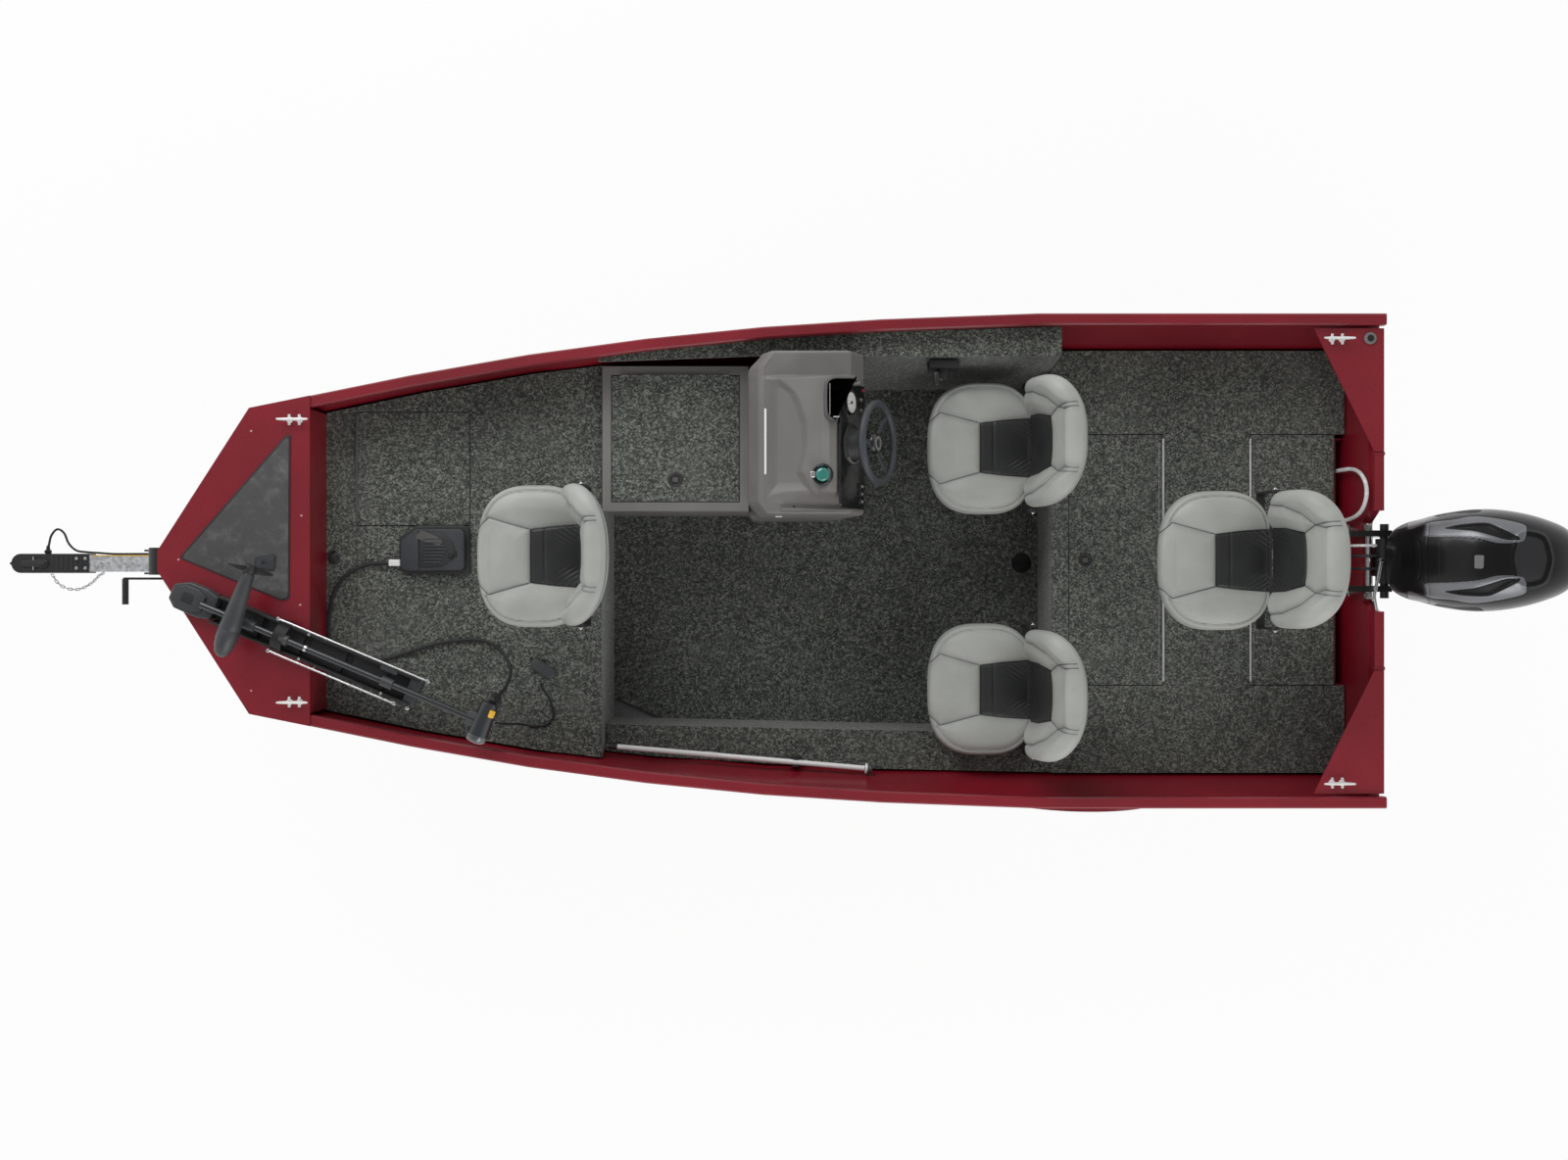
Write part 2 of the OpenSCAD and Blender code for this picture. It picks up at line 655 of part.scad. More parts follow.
// seats

module seat_posts() {
    color([0.1, 0.1, 0.11])
    for (s = seats) translate([s[SEAT_X], s[SEAT_Y], s[SEAT_Z] + seat_gap]) {
        cylinder(h = 14, r = 115);
        cylinder(h = s[SEAT_POST] - 18 - 2 * seat_gap, r = post_r);
    }
}

module seat_frame(s) {
    color([0.12, 0.12, 0.13])
    translate([s[SEAT_X], s[SEAT_Y], cushion_z(s)]) {
        translate([-100, -100, -18]) cube([200, 200, 8.2]);
        difference() {
            translate([-190, -190, -10]) cube([360, 380, 9.7]);
            translate([-90, -90, -11]) cube([180, 180, 12]);
        }
        for (m = [-1, 1]) translate([0, m * (seat_w / 2 - 8), 0]) {
            difference() {
                union() {
                    translate([hinge_x - 16, -4, -10]) cube([32, 8, cushion_t + hinge_up + 10]);
                    translate([hinge_x, 0, cushion_t + hinge_up]) rotate([90, 0, 0])
                        cylinder(h = 8, r = 20, center = true);
                }
                translate([hinge_x, 0, cushion_t + hinge_up]) rotate([90, 0, 0])
                    cylinder(h = 20, r = 8 + run_gap, center = true);
            }
            translate([hinge_x - 16, m > 0 ? -96 : -4, -10]) cube([32, 100, 8]);
        }
    }
}

// plan of a seat cushion, rounded at its corners
module cushion_plan(grow) {
    hw = seat_w / 2 + grow;
    hull() {
        for (m = [-1, 1]) {
            translate([cushion_front + 160 - grow, m * (hw - 160)]) circle(160, $fn = soft_fn);
            translate([cushion_back - 70 + grow, m * (hw - 128)]) circle(70, $fn = soft_fn);
        }
    }
}

module seat_cushion(s) {
    color([0.62, 0.63, 0.61])
    translate([s[SEAT_X], s[SEAT_Y], cushion_z(s) + seat_gap]) hull() {
        linear_extrude(1) cushion_plan(-26);
        translate([0, 0, 24]) linear_extrude(cushion_t - 52) cushion_plan(0);
        translate([0, 0, cushion_t - 1]) linear_extrude(1) cushion_plan(-22);
    }
}

// half of a seat back is a fat plate that wraps forward at the side
module seat_back(s) {
    hw = seat_w / 2 - 24;
    color([0.66, 0.67, 0.65])
    translate([s[SEAT_X] + hinge_x, s[SEAT_Y], cushion_z(s) + cushion_t + hinge_up])
    rotate([0, back_lean, 0]) {
        for (m = [-1, 1]) translate([0, m * (seat_w / 2 - 4), 0]) rotate([m * 90, 0, 0])
            cylinder(h = 110, r = 8);
        hull() for (m = [-1, 1]) {
            translate([28, m * (hw - 70), -30]) cylinder(h = 8, r = 40, $fn = soft_fn);
            translate([36, m * (hw - 50), 40]) cylinder(h = 8, r = 50, $fn = soft_fn);
            translate([46, m * (hw - 60), back_h - 90]) cylinder(h = 8, r = 50, $fn = soft_fn);
            translate([54, m * (hw - 110), back_h - 10]) cylinder(h = 8, r = 38, $fn = soft_fn);
        }
    }
}

// stern light pole stowed along the port shelf
module light_pole() {
    y0 = -(deck_half(x_bow_deck, shelf_z) - 30);
    a = [x_bow_deck + 20, y0, shelf_z + 70];
    b = [x_bow_deck + 1090, y0 - 96, shelf_z + 52];
    d = b - a;
    color([0.9, 0.9, 0.9]) translate(a)
        rotate([0, 0, atan2(d[1], d[0])]) rotate([0, 90 - atan2(d[2], norm([d[0], d[1]])), 0]) {
            cylinder(h = norm(d), r = 12.5);
            translate([0, 0, norm(d)]) cylinder(h = 30, r = 22);
        }
    color([0.05, 0.05, 0.05]) translate([a[0] + 780, a[1] - 70, shelf_z + seat_gap])
        box([-20, -22, 0], [20, 22, 44]);
}

// outboard motor

tilt_at = [x_transom + 30, 0, notch_z + 40];
steer_x = x_transom + 130;
cowl_x0 = x_transom - 10;
cowl_z0 = notch_z + 130;
clamp_half = 112;

module motor_clamp() {
    color([0.06, 0.06, 0.07])
    difference() {
        for (m = [-1, 1]) translate([0, m * clamp_half, 0]) rotate([90, 0, 0])
            linear_extrude(24, center = true)
            polygon([[x_transom + seat_gap, notch_z - 330], [x_transom + 22, notch_z - 330],
                     [x_transom + 62, notch_z + 10], [x_transom + 50, notch_z + 66],
                     [x_transom - 60, notch_z + 66], [x_transom - 74, notch_z + 40],
                     [x_transom - 74, notch_z - 60], [x_transom - transom_t - seat_gap, notch_z - 60],
                     [x_transom - transom_t - seat_gap, notch_z + seat_gap],
                     [x_transom + seat_gap, notch_z + seat_gap]]);
        translate(tilt_at) rotate([90, 0, 0]) cylinder(h = 300, r = 17 + run_gap, center = true);
    }
}

module motor_swivel() {
    color([0.07, 0.07, 0.08])
    difference() {
        union() {
            translate(tilt_at) rotate([90, 0, 0]) cylinder(h = 300, r = 17, center = true);
            translate(tilt_at) rotate([90, 0, 0]) cylinder(h = 180, r = 34, center = true);
            box([tilt_at[0], -60, notch_z - 220], [steer_x, 60, notch_z + 30]);
            translate([steer_x, 0, notch_z - 240]) cylinder(h = 300, r = 42);
        }
        translate([steer_x, 0, notch_z - 260]) cylinder(h = 400, r = 22 + run_gap);
        box([x_transom - 90, -90, notch_z - 300], [x_transom + 6, 90, notch_z + 5]);
    }
}

// sections of the cowl from front to rear: share of length, of width, height of the underside
// and of the top above the cowl's foot
COWL_X = 0; COWL_W = 1; COWL_LO = 2; COWL_HI = 3;
cowl_rows = [
    [0.00, 0.50,  10, 150],
    [0.05, 0.70,   0, 230],
    [0.17, 0.82,   0, 320],
    [0.30, 0.93,   0, 385],
    [0.48, 1.00,   4, 430],
    [0.66, 0.93,  12, 440],
    [0.83, 0.77,  26, 410],
    [0.93, 0.66,  44, 350],
    [0.98, 0.52,  60, 290],
    [1.00, 0.34,  80, 250]];

function cowl_loop(r) = let (x = cowl_x0 + r[COWL_X] * cowl_len, w = r[COWL_W] * cowl_w / 2,
        lo = cowl_z0 + r[COWL_LO], hi = cowl_z0 + r[COWL_HI] * cowl_h / 440, h = hi - lo)
    [for (p = [[-0.62, 0], [0.62, 0], [0.94, 0.10], [1.0, 0.30], [0.97, 0.56], [0.84, 0.80],
               [0.60, 0.95], [0.26, 1.0], [-0.26, 1.0], [-0.60, 0.95], [-0.84, 0.80],
               [-0.97, 0.56], [-1.0, 0.30], [-0.94, 0.10]])
        [x, p[0] * w, lo + p[1] * h]];

module motor_cowl() {
    color([0.04, 0.04, 0.045]) loft([for (r = cowl_rows) cowl_loop(r)]);
}

cav_z = notch_z - 520;
shaft_z = cav_z - 10 - prop_d / 2 - 10;
pin_r = 22;

module leg_blade(z0, z1, len, wide, x) {
    translate([0, 0, z0]) linear_extrude(z1 - z0) hull() {
        translate([x, 0]) circle(wide / 2, $fn = soft_fn);
        translate([x + len - wide / 2 - 6, 0]) circle(6, $fn = soft_fn);
    }
}

module motor_leg() {
    color([0.05, 0.05, 0.055]) {
        translate([steer_x, 0, notch_z - 262]) cylinder(h = 262 + 124, r = pin_r);
        box([steer_x - 60, -70, cowl_z0 - 26], [steer_x + 320, 70, cowl_z0 - seat_gap]);
        box([steer_x - 30, -38, notch_z - 320], [steer_x + 100, 38, notch_z - 262]);
        leg_blade(notch_z - 330, cowl_z0 - 26, 190, 76, steer_x + 90);
        leg_blade(cav_z, notch_z - 330, 250, 76, steer_x);
        leg_blade(cav_z - 10, cav_z, 420, 170, steer_x - 20);
        leg_blade(shaft_z, cav_z - 10, 176, 48, steer_x + 6);
        translate([steer_x - 74, 0, shaft_z]) rotate([0, 90, 0])
            cylinder(h = 254, r = 46);
        translate([steer_x - 74, 0, shaft_z]) sphere(46);
        translate([0, 0, shaft_z - 190]) linear_extrude(190) hull() {
            translate([steer_x + 10, 0]) circle(7, $fn = soft_fn);
            translate([steer_x + 130, 0]) circle(5, $fn = soft_fn);
        }
        translate([steer_x + 180, 0, shaft_z]) rotate([0, 90, 0]) cylinder(h = 118, r = 12);
    }
}

// a propeller blade: a thin ellipse, pitched about its own stem
module blade(reach, wide, thick, pitch) {
    rotate([pitch, 0, 0]) translate([0, 0, reach * 0.56]) scale([1, 1, 1])
        rotate([0, 90, 0]) linear_extrude(thick, center = true) resize([reach * 0.92, wide])
            circle(reach / 2, $fn = 24);
}

module propeller() {
    color([0.07, 0.07, 0.08])
    translate([steer_x + 183, 0, shaft_z]) {
        difference() {
            rotate([0, 90, 0]) cylinder(h = 100, r = 44);
            translate([-1, 0, 0]) rotate([0, 90, 0]) cylinder(h = 117, r = 12 + run_gap);
        }
        for (a = [0:120:240]) rotate([a, 0, 0]) translate([50, 0, 0])
            rotate([0, 0, 32]) blade(prop_d / 2, 104, 7, 0);
    }
}

// bow motor, stowed on its mount across the bow cap

tm_a = [x_stem + 88, -126];
tm_b = [x_stem + 1325, -645];
tm_ang = atan2(tm_b[1] - tm_a[1], tm_b[0] - tm_a[0]);
tm_z = gunwale_z + 10 + cap_t + seat_gap;
tm_len = norm(tm_b - tm_a);

module on_motor_line() {
    translate([tm_a[0], tm_a[1], tm_z]) rotate([0, 0, tm_ang]) children();
}

pod_r = 43;
pod_len = 300;
pod_at = [277, 45, 136];       // middle of the pod along, across and above the mount
pod_turn = 4;
module bow_motor_mount() {
    color([0.07, 0.07, 0.08]) on_motor_line() {
        translate([30, -56, 0]) cube([440, 112, 34]);
        for (m = [-1, 1]) translate([200, m * 44 - 6, 34 + seat_gap]) cube([820, 12, 30]);
        translate([-20, -60, 0]) cube([50, 120, 60]);
        for (u = [0.25, 0.75]) translate([260 + u * 700, -38, 38]) cube([16, 76, 26.7]);
    }
}

module bow_motor() {
    color([0.26, 0.27, 0.29]) on_motor_line() {
        translate([120, 0, 78]) rotate([0, 90, 0]) cylinder(h = tm_len - 140, r = 13);
        translate([tm_len - 60, 0, 60]) cube([70, 64, 64], center = true);
        translate([tm_len - 30, 0, 60]) rotate([90, 0, 0])
            cylinder(h = 170, r1 = 36, r2 = 44, center = true);
        translate(pod_at) rotate([90, 0, pod_turn]) translate([0, 0, -pod_len / 2]) {
            cylinder(h = pod_len, r = pod_r);
            translate([0, 0, pod_len]) sphere(pod_r);
        }
        translate([pod_at[0], 0, 78]) cylinder(h = 40, r = 16);
    }
}

module bow_propeller() {
    color([0.05, 0.05, 0.05]) on_motor_line() translate(pod_at) rotate([90, 0, pod_turn])
        translate([0, 0, -pod_len / 2 - 34]) {
            cylinder(h = 33, r = 24);
            for (a = [40, 220]) rotate([0, 0, a]) translate([0, 0, 16]) rotate([0, 0, 0])
                rotate([0, 90, 0]) rotate([0, 0, 0]) translate([0, 0, 20])
                linear_extrude(80) square([22, 5], center = true);
        }
}

module foot_pedal() {
    x = x_cap + 304;
    color([0.13, 0.13, 0.14]) translate([x, -52, bow_deck_z + seat_gap]) {
        linear_extrude(22) offset(20) offset(-20) square([290, 200]);
        translate([20, 14, 18]) rotate([0, -9, 0]) cube([250, 172, 20]);
    }
}

// trailer

axle_x = x_transom - 1038;
axle_z = tyre_d / 2;
rail_y = 480;
frame_x1 = x_transom - 260;
split_x = x_stem + 560;

module tube_between(a, b, w, h) {
    d = b - a;
    translate(a) rotate([0, 0, atan2(d[1], d[0])])
        translate([0, -w / 2, -h]) cube([norm(d), w, h]);
}

module trailer_frame() {
    color([0.74, 0.75, 0.76]) {
        tube_between([x_nose + 360, 0, frame_z], [axle_x + 500, 0, frame_z], tube_w, tube_h);
        both_sides() {
            tube_between([split_x - 380, 60, frame_z - 8], [split_x + 400, rail_y, frame_z - 8],
                         60, tube_h - 8);
            tube_between([split_x + 380, rail_y, frame_z - 8], [frame_x1, rail_y, frame_z - 8],
                         60, tube_h - 8);
        }
        for (x = [axle_x - 700, axle_x + 500, frame_x1 - 60])
            box([x, -rail_y, frame_z - tube_h], [x + 60, rail_y, frame_z - 16]);
        // winch post with its foot on the tongue
        translate([x_stem - 90, -30, frame_z]) cube([70, 60, 600]);
    }
}

module coupler() {
    color([0.1, 0.1, 0.11]) {
        difference() {
            union() {
                translate([x_nose + 60, -44, frame_z - 60]) cube([310, 88, 64]);
                translate([x_nose + 60, 0, frame_z - 60]) cylinder(h = 64, r = 44);
            }
            translate([x_nose + 60, 0, frame_z - 36]) sphere(25.8);
            translate([x_nose + 60, 0, frame_z - 70]) cylinder(h = 34, r = 25.8);
            translate([x_nose + 359, -tube_w / 2 - 0.3, frame_z - tube_h - 1])
                cube([40, tube_w + 0.6, tube_h + 2]);
        }
        translate([x_nose, 0, frame_z - 20]) rotate([0, 90, 0]) cylinder(h = 20, r = 7);
    }
}

bunk_y = 430;
bunk_half = 40;
// height of the hull's underside over the trailer at any y
function vee_z(y) = keel_z + 120 * y / (0.83 * half_beam) - seat_gap;
module bunks() {
    color([0.18, 0.18, 0.18]) both_sides() {
        y0 = bunk_y - bunk_half;
        y1 = bunk_y + bunk_half;
        z0 = vee_z(y0) - 38;
        translate([axle_x - 1300, 0, 0]) rotate([90, 0, 90])
            linear_extrude(frame_x1 + 60 - axle_x + 1300)
            polygon([[y0, z0], [y1, z0], [y1, vee_z(y1)], [y0, vee_z(y0)]]);
        for (x = [axle_x - 1100, axle_x - 300, frame_x1 - 200])
            box([x, bunk_y, frame_z - 8 + seat_gap], [x + 40, bunk_y + 70, z0 + 4]);
    }
}

stub_r = 20;
module axle() {
    spring_z = axle_z + 40;
    color([0.2, 0.2, 0.21]) {
        translate([axle_x - 25, -half_track + 250, axle_z - 25])
            cube([50, 2 * half_track - 500, 50]);
        both_sides() {
            translate([axle_x, half_track - 255, axle_z]) rotate([-90, 0, 0])
                cylinder(h = 200, r = stub_r);
            translate([axle_x - 330, rail_y - 22, axle_z + 24]) cube([660, 44, 20.2]);
            for (x = [-330, 310]) translate([axle_x + x, rail_y - 22, axle_z + 44])
                cube([20, 44, frame_z - tube_h - axle_z - 44]);
        }
    }
}

wheel_y = half_track - 112;
module wheel() {
    translate([axle_x, wheel_y, axle_z]) rotate([90, 0, 0]) {
        color([0.05, 0.05, 0.05])
        rotate_extrude($fn = 72)
            polygon([[rim_d / 2, -tyre_w / 2 + 30], [rim_d / 2 + 16, -tyre_w / 2 + 8],
                     [tyre_d / 2 - 50, -tyre_w / 2], [tyre_d / 2 - 14, -tyre_w / 2 + 12],
                     [tyre_d / 2, -tyre_w / 2 + 34], [tyre_d / 2, tyre_w / 2 - 34],
                     [tyre_d / 2 - 14, tyre_w / 2 - 12], [tyre_d / 2 - 50, tyre_w / 2],
                     [rim_d / 2 + 16, tyre_w / 2 - 8], [rim_d / 2, tyre_w / 2 - 30]]);
        color([0.8, 0.8, 0.82]) difference() {
            cylinder(h = 110, r = rim_d / 2 + 2, center = true);
            translate([0, 0, -71]) cylinder(h = 60, r = rim_d / 2 - 14);
            cylinder(h = 300, r = stub_r + run_gap, center = true);
        }
    }
}

module wheel_starboard() {
    wheel();
}

module wheel_port() {
    mirror([0, 1, 0]) wheel();
}

module fender() {
    r0 = tyre_d / 2 + 60;
    y0 = max(half_track - 225, chine_at(axle_x) + 20);
    translate([axle_x, half_track, axle_z]) rotate([90, 0, 0]) {
        linear_extrude(half_track - y0) difference() {
            intersection() {
                circle(r0 + 4, $fn = 64);
                translate([-600, 20]) square([1200, 600]);
            }
            circle(r0, $fn = 64);
        }
        linear_extrude(4) difference() {
            intersection() {
                circle(r0, $fn = 64);
                translate([-600, 90]) square([1200, 600]);
            }
            circle(r0 - 50, $fn = 64);
        }
    }
}

module fenders() {
    color([0.5, 0.06, 0.1]) both_sides() {
        fender();
        for (x = [-350, 330])
            box([axle_x + x, rail_y + 30, frame_z - 60], [axle_x + x + 20, half_track - 225, frame_z - 30]);
    }
}

module tail_lights() {
    color([0.6, 0.03, 0.04]) both_sides() {
        box([frame_x1 + seat_gap, rail_y - 30, frame_z - 70],
            [frame_x1 + 30, rail_y + 120, frame_z - 10]);
    }
}

winch_at = [x_stem - 150, 0, frame_z + 430];
module winch() {
    color([0.12, 0.12, 0.13]) {
        for (m = [-1, 1]) translate([winch_at[0] - 60, m * 48 - 4, winch_at[2] - 50])
            cube([118, 8, 100]);
        translate([winch_at[0] + 54, -52, winch_at[2] - 50]) cube([5.7, 104, 100]);
        for (m = [-1, 1]) translate([x_stem - 94, m * 36 - 5.5, frame_z + 560])
            cube([44, 11, 110]);
        translate([x_stem - 60, 0, frame_z + 660]) rotate([90, 0, 0])
            cylinder(h = 110, r = 42, center = true);
        translate(winch_at) {
            rotate([90, 0, 0]) cylinder(h = 130, r = 9, center = true);
            rotate([90, 0, 0]) cylinder(h = 60, r = 26, center = true);
            translate([-170, -75, -6]) cube([186, 10, 12]);
            translate([-164, -70, 0]) rotate([90, 0, 0]) cylinder(h = 110, r = 13);
        }
    }
}

jack_at = [x_stem + 120, 110];
jack_r = 30;
module jack_tube() {
    color([0.75, 0.76, 0.77]) {
        difference() {
            translate([jack_at[0], jack_at[1], 160]) cylinder(h = 600, r = jack_r);
            translate([jack_at[0], jack_at[1], 159]) cylinder(h = 560, r = leg_r + run_gap);
        }
        translate([jack_at[0] - 40, tube_w / 2, frame_z - 70]) cube([80, jack_at[1] - tube_w / 2 - jack_r + 6, 60]);
        translate([jack_at[0], jack_at[1], 760]) cylinder(h = 20, r = 10);
        translate([jack_at[0] - 10, jack_at[1], 774]) cube([160, 14, 6]);
    }
}

module jack_leg() {
    color([0.8, 0.8, 0.81]) translate([jack_at[0], jack_at[1], 0]) {
        cylinder(h = 8, r = 90);
        cylinder(h = 440, r = leg_r);
    }
}

// cords, each through points chosen by hand

cable_r = 7;
cable_points = [
    [-1350, -7, 1084], [-1400, -8, 1079], [-1450, -16, 1077.5], [-1530, -56, 1077.5],
    [-1580, -130, 1077.5], [-1598, -220, 1077.5], [-1598, -310, 1077.5], [-1570, -385, 1077.5],
    [-1500, -415, 1077.5], [-1410, -411, 1077.5], [-1300, -383, 1077.5], [-1170, -342, 1077.5],
    [-1040, -322, 1077.5], [-950, -330, 1078], [-880, -380, 1086], [-842, -448, 1130],
    [-846, -510, 1220], [-862, -536, 1300], [-874, -547, 1326]];

module pedal_cable() {
    color([0.03, 0.03, 0.03]) cord_tube(cable_points, cable_r, 4);
}

rope_r = 4;
rope_points = [
    [-864, -640, 1310], [-840, -650, 1250], [-815, -660, 1150], [-788, -672, 1085],
    [-750, -678, 1075], [-706, -672, 1075], [-676, -632, 1075], [-694, -566, 1075],
    [-722, -522, 1075], [-728, -500, 1080]];

module pull_rope() {
    color([0.03, 0.03, 0.03]) {
        cord_tube(rope_points, rope_r, 5);
        translate([-717, -442, bow_deck_z + seat_gap]) rotate([0, 0, 14])
            box([-40, -57, 0], [40, 57, 26]);
    }
}

lead_r = 5;
lead_points = [
    [-2600, 43.5, 440], [-2700, 43.5, 440], [-2800, 43.5, 438], [-2870, 48, 437],
    [-2930, 52, 436], [-2980, 60, 430],
    [-3020, 92, 420], [-3046, 140, 412], [-3078, 158, 410], [-3102, 130, 416], [-3106, 90, 428],
    [-3106, 64, 436]];

module trailer_lead() {
    color([0.03, 0.03, 0.03]) {
        cord_tube(lead_points, lead_r, 5);
        box([-3118, 44.3, 424], [-3094, 63, 448]);
    }
}

chain_r = 6;
chain_points = [
    [-2850, -44.5, 436], [-2880, -56, 420], [-2930, -92, 396], [-2990, -118, 384], [-3040, -116, 392],
    [-3072, -92, 412], [-3084, -62, 430], [-3086, -50.5, 440]];

module safety_chain() {
    color([0.6, 0.6, 0.61]) cord_tube(chain_points, chain_r, 5);
}

hull_bottom();
hull_sides();
transom();
gunwales();
bow_cap();
bow_pad();
stern_corners();
splash_well();
bow_deck();
bow_lid();
stern_deck();
cockpit_floor();
side_liners();
locker();
locker_lid();
stern_lid_fore();
stern_lid_aft();
console();
dash();
steering_wheel();
throttle_box();
cleats();
seat_posts();
light_pole();
for (i = [0:3]) {
    seat_frame(seats[i]);
    seat_cushion(seats[i]);
    seat_back(seats[i]);
}
motor_clamp();
motor_swivel();
motor_cowl();
motor_leg();
propeller();
bow_motor_mount();
bow_motor();
bow_propeller();
foot_pedal();
trailer_frame();
coupler();
bunks();
axle();
fenders();
tail_lights();
winch();
jack_tube();
jack_leg();
wheel_starboard();
wheel_port();
pedal_cable();
pull_rope();
trailer_lead();
safety_chain();
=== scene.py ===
import math

import bpy
import numpy as np
from mathutils import Matrix, Vector


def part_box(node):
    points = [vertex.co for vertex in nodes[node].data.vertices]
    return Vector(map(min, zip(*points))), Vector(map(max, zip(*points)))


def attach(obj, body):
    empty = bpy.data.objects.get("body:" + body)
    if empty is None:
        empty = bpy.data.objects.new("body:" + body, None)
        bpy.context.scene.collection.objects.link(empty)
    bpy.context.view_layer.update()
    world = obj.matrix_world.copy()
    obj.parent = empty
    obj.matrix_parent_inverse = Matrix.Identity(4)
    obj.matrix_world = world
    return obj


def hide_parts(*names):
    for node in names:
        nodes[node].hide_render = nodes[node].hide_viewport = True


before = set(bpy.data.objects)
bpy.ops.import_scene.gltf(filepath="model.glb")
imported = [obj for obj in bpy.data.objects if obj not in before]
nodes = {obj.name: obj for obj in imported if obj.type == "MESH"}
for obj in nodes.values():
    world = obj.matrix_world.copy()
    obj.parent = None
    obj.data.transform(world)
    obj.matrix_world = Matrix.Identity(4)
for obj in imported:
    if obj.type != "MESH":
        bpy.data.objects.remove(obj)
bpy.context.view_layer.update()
root = "boat_and_trailer"
seatNames = ["bow", "driver", "port", "stern"]
print("frame loaded:", len(nodes), "nodes")


# camera and light

view = {"width": 1600, "height": 1184, "focalPx": 1370.0, "sensor": 36.0,
        "x": 0.272, "y": -0.076, "z": 6.6}

cameraData = bpy.data.cameras.new("camera")
cameraData.sensor_width = view["sensor"]
cameraData.lens = view["focalPx"] / view["width"] * view["sensor"]
cameraData.clip_end = 200
camera = bpy.data.objects.new("camera", cameraData)
camera.location = (view["x"], view["y"], view["z"])
bpy.context.scene.collection.objects.link(camera)
bpy.context.scene.camera = camera
bpy.context.scene.view_settings.view_transform = "Standard"


class Sock:
    # one output socket of a material's tree, with + - * / as Math nodes

    def __init__(self, tree, socket):
        self.tree = tree
        self.socket = socket

    def math(self, operation, *others):
        node = self.tree.nodes.new("ShaderNodeMath")
        node.operation = operation
        for slot, value in enumerate((self, *others)):
            if isinstance(value, Sock):
                self.tree.links.new(value.socket, node.inputs[slot])
            else:
                node.inputs[slot].default_value = value
        return Sock(self.tree, node.outputs[0])

    def __add__(self, other):
        return self.math("ADD", other)

    def __sub__(self, other):
        return self.math("SUBTRACT", other)

    def __mul__(self, other):
        return self.math("MULTIPLY", other)

    def __truediv__(self, other):
        return self.math("DIVIDE", other)

    def __rsub__(self, other):
        return (self * -1.0) + other

    __radd__ = __add__
    __rmul__ = __mul__

    def above(self, edge):
        return self.math("GREATER_THAN", edge)

    def wave(self):
        return self.math("SINE")

    def larger(self, other):
        return self.math("MAXIMUM", other)

    def smaller(self, other):
        return self.math("MINIMUM", other)

    # 0 below low, 1 above high, smooth between them
    def ease(self, low, high):
        node = self.tree.nodes.new("ShaderNodeMapRange")
        node.interpolation_type = "SMOOTHSTEP"
        self.tree.links.new(self.socket, node.inputs["Value"])
        node.inputs["From Min"].default_value = low
        node.inputs["From Max"].default_value = high
        return Sock(self.tree, node.outputs["Result"])


